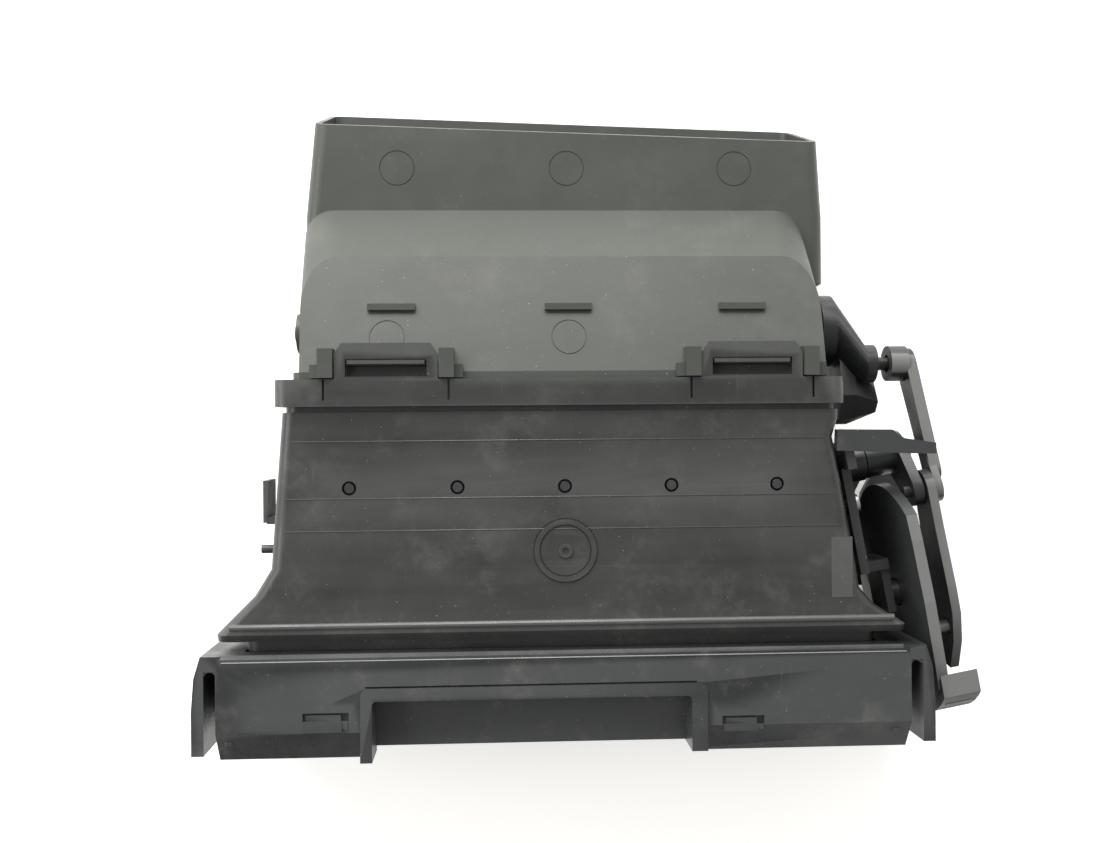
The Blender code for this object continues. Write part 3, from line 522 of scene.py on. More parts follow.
def steel(name):
    g = Graph(name)
    brushed = g.noise(500.0, 3.0, 0.6, stretch=(1, 1, 14))
    tone = g.mix(g.ramp(brushed, 0.3, 0.7), (0.30, 0.30, 0.29), (0.55, 0.55, 0.53))
    g.link(tone, g.shader.inputs["Base Color"])
    g.link(g.ramp(brushed, 0.3, 0.7, 0.25, 0.45), g.shader.inputs["Roughness"])
    g.shader.inputs["Metallic"].default_value = 1.0
    g.link(g.bump(brushed, 0.3, 0.02), g.shader.inputs["Normal"])
    return g.material


# Moulded looks: dark and light tone, roughness and what differs from the usual
PLASTICS = {
    "housing_plastic": ((0.021, 0.022, 0.021), (0.039, 0.041, 0.039), 0.36, {"dust": 0.35}),
    "insert_plastic": ((0.019, 0.020, 0.019), (0.036, 0.037, 0.036), 0.38, {}),
    "adapter_plastic": ((0.019, 0.021, 0.017), (0.028, 0.031, 0.026), 0.46, {"spread": 0.08}),
    # Painted shadow: near-black plastic for plates that stand in for the shade under the tongue windows
    "painted_shadow_plastic": ((0.003, 0.003, 0.003), (0.007, 0.007, 0.007), 0.80, {"spread": 0.05}),
    "frame_plastic": ((0.014, 0.015, 0.016), (0.030, 0.031, 0.032), 0.38, {"spread": 0.14, "dust": 0.6}),
    # Painted highlight: a light copy of the frame's plastic for the bright line along the frame's rear edge
    "painted_highlight_plastic": ((0.040, 0.041, 0.040), (0.090, 0.091, 0.088), 0.45, {}),
    "vane_plastic": ((0.014, 0.014, 0.015), (0.026, 0.026, 0.028), 0.46, {}),
    # Links: painted top light on their nearly flat upward faces
    "link_plastic": ((0.009, 0.010, 0.010), (0.020, 0.021, 0.022), 0.42, {"painted_top_light": 0.75}),
    "carrier_plastic": ((0.007, 0.008, 0.008), (0.018, 0.019, 0.020), 0.38, {}),
    "grip_rubber": (
        (0.012, 0.012, 0.012), (0.022, 0.022, 0.022), 0.78,
        {"spread": 0.06, "grain": 1800.0, "grain_depth": 0.08},
    ),
}
MATERIALS = {}
for look, (dark, light, roughness, extra) in PLASTICS.items():
    MATERIALS[look] = plastic(look, dark, light, roughness, **extra)
MATERIALS["seal_foam"] = foam("seal_foam")
MATERIALS["screw_steel"] = steel("screw_steel")


# ---------------------------------------------------------------- housing shells
# Along Y: left wall, right wall, height of the top face
HOUSING_STATIONS = (
    (NECK_FRONT, -89.7, 89.7, 57.0),
    (NECK_REAR, -89.7, 89.7, 57.0),
    (NECK_REAR, -97.0, 97.0, 61.4),
    (FLARE_RIDGE, -97.0, 97.0, 62.8),
    (26.2, -91.3, 88.0, 62.3),
    (31.0, -86.5, 84.0, 62.1),
    (38.3, -82.0, 83.0, 62.0),
    (74.0, -79.3, 76.6, 62.0),
    (79.0, -78.9, 78.1, 62.0),
    (81.8, -78.7, 78.3, 62.0),
    (81.8, -77.8, 77.4, 61.0),
    (COLLAR_FRONT, -77.8, 77.4, 61.0),
    (COLLAR_FRONT, -80.4, 79.4, 64.0),
    (COLLAR_REAR, -80.4, 79.4, 64.0),
)


# Inside of the tube, in the same order
BORE_STATIONS = (
    (NECK_FRONT - 2.0, -87.5, 87.5, 54.8),
    (FLARE_RIDGE, -87.5, 87.5, 55.0),
    (26.2, -87.5, 85.6, 59.4),
    (31.0, -84.2, 81.7, 59.8),
    (38.3, -79.8, 80.8, 59.8),
    (74.0, -76.6, 74.4, 59.8),
    (81.8, -75.4, 75.1, 59.8),
    (ADAPTER_FRONT, -75.4, 75.1, 59.8),
)


def tube(stations, radius):
    """Loft of rounded sections that are symmetric about mid height."""
    rings = []
    for y, left, right, top in stations:
        rings.append([(x, y, z) for x, z in round_rect(left, right, 2 * HOUSING_MID - top, top, radius)])
    return loft(rings)


def half_shell():
    """Upper half shell, open at both ends, without holes or tongues."""
    shell = tube(HOUSING_STATIONS, EDGE_RADIUS)
    cut(shell, tube(BORE_STATIONS, EDGE_RADIUS - 1.6))
    low, high = ADAPTER_LOW - GAP, ADAPTER_HIGH + GAP
    socket = box(ADAPTER_LEFT - GAP, ADAPTER_RIGHT + GAP, ADAPTER_FRONT - GAP, COLLAR_REAR + 5, low, high)
    return cut(shell, socket, box(-120, 120, 0, 120, -10, HOUSING_MID + GAP / 2))


def tongue(centre):
    """Flexible snap tongue with chamfered rear corners and a window for the catch."""
    half = TONGUE_WIDTH / 2
    top = HOUSING_TOP + COLLAR_RISE
    outline = [
        (centre - half, COLLAR_REAR - 1.0),
        (centre + half, COLLAR_REAR - 1.0),
        (centre + half, TONGUE_END - 3.0),
        (centre + half - 2.0, TONGUE_END),
        (centre - half + 2.0, TONGUE_END),
        (centre - half, TONGUE_END - 3.0),
    ]
    plate = prism(outline, "Z", top - 1.8, top)
    reach = WINDOW_WIDTH / 2
    return cut(plate, box(centre - reach, centre + reach, WINDOW_FRONT, WINDOW_REAR, top - 5, top + 5))


def tongue_slits(centre):
    """Two slits through the collar that let the tongue bend."""
    slits = []
    for side in (-1, 1):
        x = centre + side * (TONGUE_WIDTH / 2 + 3.0)
        slits.append(box(x - 0.3, x + 0.3, COLLAR_FRONT + 1.7, COLLAR_REAR + 1, HOUSING_TOP + 0.4, 70))
    return slits


def mirror_height(obj):
    """Turn an upper half into the matching lower half."""
    obj.data.transform(Matrix.Scale(-1, 4, (0, 0, 1)))
    obj.data.transform(Matrix.Translation((0, 0, 2 * HOUSING_MID * MM)))
    obj.data.flip_normals()
    return obj


def finished_shell():
    shell = half_shell()
    for centre in TONGUE_CENTRES:
        unite(shell, tongue(centre))
        cut(shell, *tongue_slits(centre))
    for x in vane_positions():
        cut(shell, rod("Z", x, VANE_PIVOT_Y, 55, 70, VANE_HOLE_RADIUS))
    return shell


def vane_positions():
    first = -VANE_PITCH * (VANE_COUNT - 1) / 2
    return [first + VANE_PITCH * i for i in range(VANE_COUNT)]


def screw_places():
    """Points (b, z) of the three screws that hold the side carrier to the housing."""
    return ((30.0, 47.0), (14.0, 17.0), (38.0, 17.0))


def housing_upper():
    shell = finished_shell()
    ring = rod("Z", 0.0, 42.7, HOUSING_TOP - 0.6, HOUSING_TOP + 0.5, 8.7, 28)
    cut(ring, rod("Z", 0.0, 42.7, HOUSING_TOP - 0.2, 70, 7.3, 28))
    hub = rod("Z", 0.0, 42.7, HOUSING_TOP - 0.6, HOUSING_TOP + 0.5, 2.0, 12)
    unite(shell, ring, cut(hub, rod("Z", 0.0, 42.7, HOUSING_TOP - 0.4, HOUSING_TOP + 2, 0.85, 10)))
    cut(shell, pin_mark(0.0, 42.7, HOUSING_TOP, 9.05), pin_mark(0.0, 42.7, HOUSING_TOP, 7.25))
    peg = rod("X", 42.4, 45.0, -87.4, -80.6, 1.25, 10)
    gusset = prism([(-80.8, 42.4), (-84.5, 42.4), (-80.8, 38.0)], "Z", 44.2, 45.8)
    stand = box(-85.0, -79.6, 50.0, 52.0, 38.0, 50.0)
    leaf = box(-86.0, -84.6, 50.4, 62.5, 38.0, 50.0)
    unite(shell, gusset, peg, stand, leaf)
    b, z = screw_places()[0]
    cut(shell, to_side(rod("X", b, z, -24, -12, 1.5, 10)))
    publish(shell, "housing_upper", "housing_plastic")


def housing_lower():
    shell = mirror_height(finished_shell())
    for b, z in screw_places()[1:]:
        cut(shell, to_side(rod("X", b, z, -24, -12, 1.5, 10)))
    publish(shell, "housing_lower", "housing_plastic")


def pin_mark(x, y, z, radius):
    """Ring that cuts the fine round groove an ejector pin leaves in a moulding."""
    ring = rod("Z", x, y, z - 0.22, z + 1.0, radius, 20)
    return cut(ring, rod("Z", x, y, z - 1.0, z + 2.0, radius - 0.28, 20))


def housing_marks():
    """Faint parting lines and the insert patch on top of the housing."""
    top = HOUSING_TOP
    lines = ((73.7, -79.0, 76.2), (57.8, -80.2, 79.2), (48.8, -81.0, 81.0))
    for index, (y, left, right) in enumerate(lines, 1):
        line = box(left + 3.0, right - 3.0, y - 0.14, y + 0.14, top - 0.3, top + 0.10)
        piece(line, f"parting_line_{index}", "register", "housing_plastic", 0.0)
    profile = [(45.5, 61.6), (45.5, 62.12), (38.3, 62.12), (31.0, 62.22), (28.4, 62.32), (28.4, 61.6)]
    piece(prism(profile, "X", 75.3, 81.4), "insert_patch", "register", "insert_plastic", 0.0)
    ridge = [(21.9, 62.3), (21.9, 63.0), (22.3, 63.2), (22.8, 63.2), (23.3, 62.9), (23.6, 62.3)]
    piece(prism(ridge, "X", -93.0, 93.0), "front_ridge", "register", "housing_plastic", 0.0)


# ---------------------------------------------------------------- duct adapter
def low_duct(inset, front, rear):
    """Low part of the duct; it leans to +X and its right wall bulges behind the damper."""
    stations = (
        (front, ADAPTER_LEFT, ADAPTER_RIGHT),
        (117.5, -75.7, 75.4),
        (120.5, -75.8, 81.6),
        (141.0, -75.8, 81.6),
        (rear, -70.9, 78.9),
    )
    rings = []
    for y, left, right in stations:
        points = round_rect(left + inset, right - inset, ADAPTER_LOW + inset, DUCT_TOP - inset, 4.2 - inset)
        rings.append([(x, y, z) for x, z in points])
    return loft(rings)


def hump_ring(z, rear, left, right, inset, corner, front):
    """Plan outline of the tall section at one height, round at its rear corners."""
    x0, x1, y1 = left + inset, right - inset, rear - inset
    arcs = circle(x1 - corner, y1 - corner, corner, 5, 0, math.pi / 2)
    arcs += circle(x0 + corner, y1 - corner, corner, 5, math.pi / 2, math.pi / 2)
    return [(x0, front, z), (x1, front, z)] + [(x, y, z) for x, y in arcs]


def tall_section(inset, front):
    """Tall section with its rear ramp; the top plane falls away towards the duct."""
    slope = (RAMP_FOOT - RAMP_TOP) / (RAMP_TOP_HEIGHT - DUCT_TOP)
    heights = ((20.0, 4.2), (DUCT_TOP, 8.5), (RAMP_TOP_HEIGHT, 10.5), (ADAPTER_HIGH + 2, 11.5))
    rings = []
    for z, corner in heights:
        rear = RAMP_TOP - (z - RAMP_TOP_HEIGHT) * slope
        rear = min(rear, RAMP_FOOT)
        left = ADAPTER_LEFT + 2.0 * max(0.0, (z - DUCT_TOP) / (ADAPTER_HIGH - DUCT_TOP))
        rings.append(hump_ring(z, rear, left, ADAPTER_RIGHT, inset, corner - inset, front))
    solid = loft(rings)
    fall = (ADAPTER_HIGH - RAMP_TOP_HEIGHT) / (RAMP_TOP - SLOPE_START)
    far = 160.0
    profile = [
        (front - 5, ADAPTER_HIGH - inset),
        (SLOPE_START, ADAPTER_HIGH - inset),
        (far, ADAPTER_HIGH - inset - fall * (far - SLOPE_START)),
        (far, 90.0),
        (front - 5, 90.0),
    ]
    return cut(solid, prism(profile, "X", -100, 100))


def front_block(inset, front, rear):
    """Square-cornered spigot that plugs into the collar."""
    left, right = ADAPTER_LEFT + inset, ADAPTER_RIGHT - inset
    points = round_rect(left, right, ADAPTER_LOW + inset, ADAPTER_HIGH - inset, 3.0 - inset / 2)
    return prism(points, "Y", front, rear)


def adapter_volume(inset, front, rear):
    solid = front_block(inset, front, SLOPE_START)
    return unite(solid, low_duct(inset, front + 1.0, rear), tall_section(inset, front + 1.0))


def guide_block(x, side):
    """L-shaped guide beside a snap tongue."""
    upright = box(x - 2.1, x + 2.1, 91.3, 99.4, ADAPTER_HIGH - 6.0, 65.2)
    foot = box(x - 2.1 + side * 2.4, x + 2.1 + side * 2.4, 91.3, 95.0, ADAPTER_HIGH - 6.0, 63.2)
    return unite(upright, foot)


def duct_adapter():
    body = adapter_volume(0.0, ADAPTER_FRONT, 190.0)
    cut(body, adapter_volume(ADAPTER_WALL, ADAPTER_FRONT - 5, 195.0))
    lean = (MOUTH_BOTTOM - MOUTH_TOP) / (DUCT_TOP - ADAPTER_LOW)
    profile = [
        (MOUTH_TOP - lean * 20, DUCT_TOP + 20),
        (MOUTH_BOTTOM + lean * 20, ADAPTER_LOW - 20),
        (230.0, ADAPTER_LOW - 20),
        (230.0, DUCT_TOP + 20),
    ]
    trim = prism(profile, "X", -120, 120)
    spin = Matrix.Translation((MOUTH_SHIFT * MM, MOUTH_TOP * MM, 0))
    trim.data.transform(spin @ Matrix.Rotation(-MOUTH_YAW, 4, "Z") @ spin.inverted())
    cut(body, trim)
    solids = []
    for centre in TONGUE_CENTRES:
        reach = TONGUE_WIDTH / 2 + GAP + 2.1
        solids += [guide_block(centre - reach, -1), guide_block(centre + reach, 1)]
        half = WINDOW_WIDTH / 2 - 0.6
        wedge = [(94.7, 59.5), (96.1, 59.5), (96.1, 64.2), (95.1, 64.2), (94.7, 63.4)]
        solids.append(prism(wedge, "X", centre - half, centre + half))
    for centre in (-48.4, 1.7, 51.6):
        solids.append(box(centre - 6.7, centre + 6.7, 110.6, 112.4, 52.0, 57.6))
    for x0, x1 in ((-78.6, -74.6), (73.6, 77.6)):
        solids.append(rod("X", AXLE_Y, AXLE_Z, x0, x1, 6.0))
    unite(body, *solids)
    fall = (ADAPTER_HIGH - RAMP_TOP_HEIGHT) / (RAMP_TOP - SLOPE_START)
    roof, rear = ADAPTER_HIGH - ADAPTER_WALL, 100.0
    hollow = [(88.0, 50.0), (88.0, roof), (SLOPE_START, roof)]
    hollow += [(rear, roof - fall * (rear - SLOPE_START)), (rear, 50.0)]
    cut(body, prism(hollow, "X", ADAPTER_LEFT + 2, ADAPTER_RIGHT - 2))
    cut(body, rod("X", AXLE_Y, AXLE_Z, -90, 90, 2.9))
    marks = [pin_mark(x, 155.3, DUCT_TOP, 5.3) for x in (-48.2, 2.8, 53.9)]
    for x in (-49.5, 1.7):
        mark = pin_mark(x, 102.7, 0.0, 5.0)
        for vertex in mark.data.vertices:
            vertex.co.z += (ADAPTER_HIGH - fall * (vertex.co.y / MM - SLOPE_START)) * MM
        marks.append(mark)
    cut(body, *marks)
    publish(body, "duct_adapter", "adapter_plastic", edge=0.3, crease=20)
    # Dark plates under the tongue windows are painted shadow, not parts of the adapter
    for index, centre in enumerate(TONGUE_CENTRES, 1):
        half = WINDOW_WIDTH / 2 - 0.3
        shade = box(centre - half, centre + half, 91.7, 94.5, 60.0, 61.75)
        piece(shade, f"catch_window_shadow_{index}", "register", "painted_shadow_plastic", 0.0)


# ---------------------------------------------------------------- front frame
def frame_side(sign):
    """Side wall with a slanted rear corner; its front end is a free finger."""
    outer = [(103.3, FINGER_FRONT), (103.3, 0.0), (102.6, 9.0), (100.8, FRAME_REAR)]
    inner = [(95.5, FRAME_REAR), (95.5, SLOT_REAR), (99.9, SLOT_REAR), (99.9, FINGER_FRONT)]
    shift = 0.9 if sign > 0 else 0.0
    points = [(sign * (x + shift * (x > 99)), y) for x, y in outer + inner]
    return prism(points, "Z", 0.0, FRAME_TOP)


def front_frame():
    top_profile = [
        (FRAME_REAR, FRAME_TOP - 1.2),
        (FRAME_REAR - 0.9, FRAME_TOP),
        (SLOPE_FRONT, FRAME_TOP),
        (FRAME_FRONT, FRAME_TOP - 5.5),
        (FRAME_FRONT, FRAME_TOP - 8.0),
        (SLOPE_FRONT - 0.6, FRAME_TOP - PLATE),
        (FRAME_REAR, FRAME_TOP - PLATE),
    ]
    body = prism(top_profile, "X", PLATE_LEFT, PLATE_RIGHT)
    left, right = CUTOUT
    cut(body, box(left - 1.0, right + 1.0, -20, CUTOUT_REAR + 1.0, 50, 70))
    rear, quarter = CUTOUT_REAR + RIM_REAR, math.pi / 2
    outline = [(left - RIM_LEFT, FRAME_FRONT - 0.2)]
    outline += circle(left - RIM_LEFT + 2.4, rear - 2.4, 2.4, 3, 2 * quarter, -quarter)
    outline += circle(right + RIM_RIGHT - 2.4, rear - 2.4, 2.4, 3, quarter, -quarter)
    outline += [(right + RIM_RIGHT, FRAME_FRONT + 1.2), (right, FRAME_FRONT + 1.2)]
    outline += circle(right - 1.1, CUTOUT_REAR - 1.1, 1.1, 3, 0.0, quarter)
    outline += circle(left + 1.1, CUTOUT_REAR - 1.1, 1.1, 3, quarter, quarter)
    outline += [(left, FRAME_FRONT - 0.2)]
    rim = prism(outline, "Z", CUTOUT_FLOOR - 2.0, FRAME_TOP + 0.4)
    start, stop = left - RIM_LEFT + 1.5, right + RIM_RIGHT - 3.0
    groove = box(start, stop, rear + 0.02, rear + 0.5, FRAME_TOP - 1.0, 70.0)
    floor = box(left - 1, right + 1, FRAME_FRONT + 1.7, CUTOUT_REAR + 1, CUTOUT_FLOOR - 2.0, CUTOUT_FLOOR)
    bottom = box(PLATE_LEFT, PLATE_RIGHT, FRAME_FRONT, FRAME_REAR, 0.0, PLATE)
    unite(bottom, box(-101.0, 102.0, FINGER_FRONT, 12.0, 0.0, PLATE))
    wall = box(-97.4, 98.3, 12.4, FRAME_REAR, 0.0, FRAME_TOP - 1.2)
    unite(body, rim, floor, wall, bottom, frame_side(-1), frame_side(1))
    cut(body, groove)
    cut(body, box(-90.0, 90.0, 5.0, 20.0, 2 * HOUSING_MID - 57.3, 57.3))
    for x0, x1 in ((-94.6, -92.3), (92.3, 94.6)):
        unite(body, box(x0, x1, -10.0, 13.0, 1.5, FRAME_TOP - 1.5))
    for x0, x1 in ((-100.3, PLATE_LEFT + 0.4), (PLATE_RIGHT - 0.4, 101.2)):
        middle = -98.3 if x0 < 0 else 99.1
        filler = box(x0, x1, SLOT_REAR - 1.6, SLOT_REAR + 0.4, FRAME_TOP - 9.0, FRAME_TOP - 0.2)
        unite(body, cut(filler, rod("Z", middle, SLOT_REAR - 1.7, 0.0, 70.0, 1.65, 20)))
    for x0, x1, y0, y1 in ((-72.6, -62.2, -6.3, -1.6), (43.9, 53.5, -8.2, -4.6)):
        cut(body, box(x0 - 0.4, x1 + 1.8, y1 - 1.7, y1 + 0.6, FRAME_TOP - 1.1, 70.0))
        unite(body, box(x0, x1, y0, y1 - 1.9, FRAME_TOP - 2.6, FRAME_TOP + 0.5))
        unite(body, box(x0 + 0.5, x1 - 0.3, y1 - 2.4, y1, FRAME_TOP - 2.6, FRAME_TOP - 0.1))
        unite(body, box(x1 - 0.2, x1 + 1.6, y0 + 0.3, y1 - 1.9, FRAME_TOP - 2.6, FRAME_TOP + 0.2))
    publish(body, "front_frame", "frame_plastic")
    # Thin bead along the frame's rear edge, coloured as a painted highlight line
    bead = [(13.0, 63.6), (13.0, 64.08), (13.2, 64.25), (13.4, 64.08), (13.4, 63.6)]
    piece(prism(bead, "X", -95.0, 96.0), "frame_highlight_bead", "register", "painted_highlight_plastic", 0.0)


# ---------------------------------------------------------------- vertical vanes
def vertical_vane(index, x):
    low, high = 4.8, 59.2
    front, rear = VANE_PIVOT_Y - VANE_FRONT, VANE_PIVOT_Y + VANE_FRONT
    half = VANE_THICK / 2
    outline = [
        (x - 0.3, front),
        (x + 0.3, front),
        (x + half, front + 5.0),
        (x + half, rear - 5.0),
        (x + 0.3, rear),
        (x - 0.3, rear),
        (x - half, rear - 5.0),
        (x - half, front + 5.0),
    ]
    vane = prism(outline, "Z", low, high)
    unite(vane, rod("Z", x, VANE_PIVOT_Y, low, high, 2.0, 12))
    tie_y = VANE_PIVOT_Y + TIE_OFFSET
    cut(vane, box(x - 3, x + 3, tie_y - 4.2, rear + 2, low - 2, 12.0))
    unite(vane, rod("Z", x, tie_y, 7.0, 13.5, 1.2, 10))
    unite(vane, rod("Z", x, VANE_PIVOT_Y, HOUSING_LOW + 0.1, HOUSING_TOP - 0.1, VANE_PIN_RADIUS, 14))
    if x == 0.0:
        cut(vane, box(x - 3, x + 3, front - 2, FORK_REACH + 0.7, 6.5, 52.0))
        unite(vane, rod("Z", x, front + FORK_BAR_INSET, 5.5, 53.0, 1.2, 12))
    publish(vane, f"vertical_vane_{index}", "vane_plastic")


def vane_tie_bar():
    y = VANE_PIVOT_Y + TIE_OFFSET
    places = vane_positions()
    bar = prism(round_rect(places[0] - 4, places[-1] + 4, y - 2.5, y + 2.5, 2.4), "Z", TIE_LOW, TIE_HIGH)
    for x in places:
        cut(bar, rod("Z", x, y, 0, 20, 1.55, 12))
    publish(bar, "vane_tie_bar", "vane_plastic")


# ---------------------------------------------------------------- horizontal vanes
def blade_heights():
    return [BLADE_FIRST_Z + BLADE_PITCH * i for i in range(BLADE_COUNT)]


def blade_section(z):
    half, chord = BLADE_THICK / 2, BLADE_CHORD / 2
    return [
        (BLADE_Y - chord, z - 0.5),
        (BLADE_Y - chord + 3, z - half),
        (BLADE_Y + chord - 4, z - half),
        (BLADE_Y + chord, z - 0.3),
        (BLADE_Y + chord, z + 0.3),
        (BLADE_Y + chord - 4, z + half),
        (BLADE_Y - chord + 3, z + half),
        (BLADE_Y - chord, z + 0.5),
    ]


def horizontal_vane(index, z):
    blade = prism(blade_section(z), "X", -BLADE_HALF_SPAN, BLADE_HALF_SPAN)
    unite(blade, rod("X", BLADE_Y, z, -91.6, 91.6, 1.3, 12))
    unite(blade, rod("X", BLADE_Y + LINK_OFFSET, z, BLADE_HALF_SPAN - 2, 88.9, 1.1, 10))
    publish(blade, f"horizontal_vane_{index}", "vane_plastic")


def vane_side_link():
    heights = blade_heights()
    y = BLADE_Y + LINK_OFFSET
    bar = box(86.3, 88.4, y - 2.0, y + 2.0, heights[0] - 3, heights[-1] + 3)
    for z in heights:
        cut(bar, rod("X", y, z, 80, 95, 1.45, 12))
    publish(bar, "vane_side_link", "vane_plastic")


def vane_bearing(side, name):
    x0, x1 = sorted((side * 89.3, side * 92.0))
    strip = box(x0, x1, -5.0, 11.6, 3.6, 50.9)
    for z in blade_heights():
        cut(strip, rod("X", BLADE_Y, z, x0 - 2, x1 + 2, 1.65, 12))
    publish(strip, name, "frame_plastic")


def slider_knob():
    """Grip that slides on the middle blade, with a fork that steers the centre vane."""
    z = BLADE_FIRST_Z + BLADE_PITCH * (BLADE_COUNT // 2)
    grip = prism(round_rect(-10.0, 10.0, z - 3.4, z + 3.4, 2.0), "Y", -12.6, -4.0)
    sleeve = prism(round_rect(-8.0, 8.0, z - 2.6, z + 2.6, 0.8), "Y", -5.0, 11.8)
    unite(grip, sleeve)
    channel = prism([(-6.4, z - 1.35), (10.4, z - 1.35), (10.4, z + 1.35), (-6.4, z + 1.35)], "X", -20, 20)
    cut(grip, channel)
    for side in (-1, 1):
        arm = [
            (side * 1.75, 10.6),
            (side * 1.75, FORK_REACH),
            (side * 2.6, FORK_REACH),
            (side * 3.6, FORK_REACH - 2.6),
            (side * 3.6, 10.6),
        ]
        unite(grip, prism(arm, "Z", z - 1.6, z + 1.6))
    cut(grip, prism(round_rect(-7.6, 7.6, z - 1.9, z + 1.9, 1.2), "Y", -14.0, -11.4))
    publish(grip, "slider_knob", "vane_plastic")
    pad = prism(round_rect(-7.3, 7.3, z - 1.6, z + 1.6, 1.0), "Y", -13.2, -11.7)
    publish(pad, "knob_grip_pad", "grip_rubber")


# ---------------------------------------------------------------- damper
def damper():
    """Flap with ribs and half an axle, two foam seals and the driven axle stub."""
    left, right = FLAP_SPAN
    front, rear = AXLE_Y - FLAP_HALF_CHORD, AXLE_Y + FLAP_HALF_CHORD
    half = FLAP_THICK / 2
    flap = box(left, right, front, rear, AXLE_Z - half, AXLE_Z + half)
    unite(flap, rod("X", AXLE_Y, AXLE_Z, left, right, 4.4, 16))
    unite(flap, rod("X", AXLE_Y, AXLE_Z, -79.4, left + 2.0, AXLE_RADIUS, 16))
    rib = [
        (AXLE_Y - 20, AXLE_Z - 0.8),
        (AXLE_Y - 4, AXLE_Z - 3.4),
        (AXLE_Y + 4, AXLE_Z - 3.4),
        (AXLE_Y + 20, AXLE_Z - 0.8),
    ]
    for x in (-48.0, -24.0, 0.0, 24.0, 48.0):
        unite(flap, prism(rib, "X", x - 0.8, x + 0.8))
    cut(flap, rod("X", AXLE_Y, AXLE_Z, 52.0, 80.0, AXLE_RADIUS + 0.4, 16))
    publish(flap, "damper_flap", "vane_plastic")

    low, high = AXLE_Z + half + GAP, AXLE_Z + 2.6
    for side, name in ((-1, "damper_seal_front"), (1, "damper_seal_rear")):
        y0, y1 = sorted((AXLE_Y + side * 5.2, AXLE_Y + side * (FLAP_HALF_CHORD - 0.8)))
        publish(box(left, right, y0, y1, low, high), name, "seal_foam")

    axle = rod("X", AXLE_Y, AXLE_Z, 53.0, 84.2, AXLE_RADIUS, 16)
    cut(axle, rod("X", AXLE_Y, AXLE_Z, 74.0, 90.0, 1.3, 12))
    publish(axle, "damper_axle", "link_plastic")


def damper_crank():
    """Crank that steps outwards from its hub to the pin, with a broad stop lobe in front."""
    pin_y, pin_z = CRANK_PIN
    hub, end = (AXLE_Y, AXLE_Z, 11.0), (pin_y, pin_z, 5.7)
    rings = []
    for x, (cy, cz, radius) in ((79.6, hub), (84.0, hub), (91.5, end), (94.4, end)):
        rings.append([(x, y, z) for y, z in circle(cy, cz, radius, 24)])
    arm = loft(rings)
    rings = []
    for x, outline in ((85.0, LOBE_WIDE), (89.4, LOBE_WIDE), (96.4, LOBE_SLIM)):
        rings.append([(x, y, z) for y, z in outline])
    unite(arm, loft(rings))
    unite(arm, rod("X", pin_y, pin_z, 93.0, 107.0, 2.0, 14))
    cut(arm, rod("X", AXLE_Y, AXLE_Z, 70.0, 84.6, 2.9, 16))
    cut(arm, rod("X", AXLE_Y, AXLE_Z, 84.0, 110.0, 1.5, 12), rod("X", AXLE_Y, AXLE_Z, 87.0, 110.0, 3.4, 16))
    publish(arm, "damper_crank", "carrier_plastic")
    screw = rod("X", AXLE_Y, AXLE_Z, 87.4, 89.4, 2.9, 16)
    unite(screw, rod("X", AXLE_Y, AXLE_Z, 76.0, 87.8, 1.05, 10))
    cut(screw, box(88.8, 91.0, AXLE_Y - 2.0, AXLE_Y + 2.0, AXLE_Z - 0.4, AXLE_Z + 0.4))
    publish(screw, "crank_screw", "screw_steel")


# ---------------------------------------------------------------- side linkage
def thumbwheel():
    """Round plate with a flat top edge and a wide grip rim around its front."""
    flat = math.asin(WHEEL_FLAT / WHEEL_RADIUS)
    outline = circle(0.0, WHEEL_Z, WHEEL_RADIUS, 34, math.pi - flat, math.pi + 2 * flat)
    top = WHEEL_Z + WHEEL_FLAT
    crown = [(18.0, top + 0.9), (0.0, top + 1.7), (-18.0, top + 0.9)]
    plate = prism(outline + crown, "X", 0.0, WHEEL_THICK)
    rise = RIM_TOP - WHEEL_Z
    start, inner_start = math.pi - math.asin(rise / RIM_RADIUS), math.pi - math.asin(rise / RIM_INNER)
    end = math.radians(280)
    arc = circle(0.0, WHEEL_Z, RIM_RADIUS, 22, start, end - start)
    inner = circle(0.0, WHEEL_Z, RIM_INNER, 22, inner_start, end - inner_start)
    unite(plate, prism(arc + inner[::-1], "X", 0.4, RIM_WIDTH))
    unite(plate, rod("X", PIN_B, WHEEL_Z + PIN_Z, 2.0, 12.9, 2.0, 14))
    unite(plate, rod("X", 0.0, WHEEL_Z, 0.4, 4.4, 7.0, 20))
    cut(plate, rod("X", 0.0, WHEEL_Z, -5.0, 20.0, 4.35, 20))
    for step in range(GRIP_GROOVES):
        turn = start + (step + 1.0) * (end - start) / (GRIP_GROOVES + 0.5)
        b, z = RIM_RADIUS * math.cos(turn), WHEEL_Z + RIM_RADIUS * math.sin(turn)
        cut(plate, rod("X", b, z, 1.6, RIM_WIDTH + 1.0, 0.5, 4))
    publish(to_side(plate), "thumbwheel", "link_plastic")
    clip = rod("X", 0.0, WHEEL_Z, 4.75, 5.75, 6.0, 20)
    cut(clip, rod("X", 0.0, WHEEL_Z, 0, 10, 2.9, 16))
    publish(to_side(clip), "wheel_retaining_clip", "carrier_plastic")


def capsule(b0, z0, r0, b1, z1, r1, steps=8):
    """Outline around two circles joined by their common tangents, from front to rear."""
    angle = math.atan2(z1 - z0, b1 - b0)
    lean = math.asin((r0 - r1) / math.hypot(b1 - b0, z1 - z0))
    points = circle(b1, z1, r1, steps, angle - math.pi / 2 + lean, math.pi - 2 * lean)
    points += circle(b0, z0, r0, steps, angle + math.pi / 2 - lean, math.pi + 2 * lean)
    return points


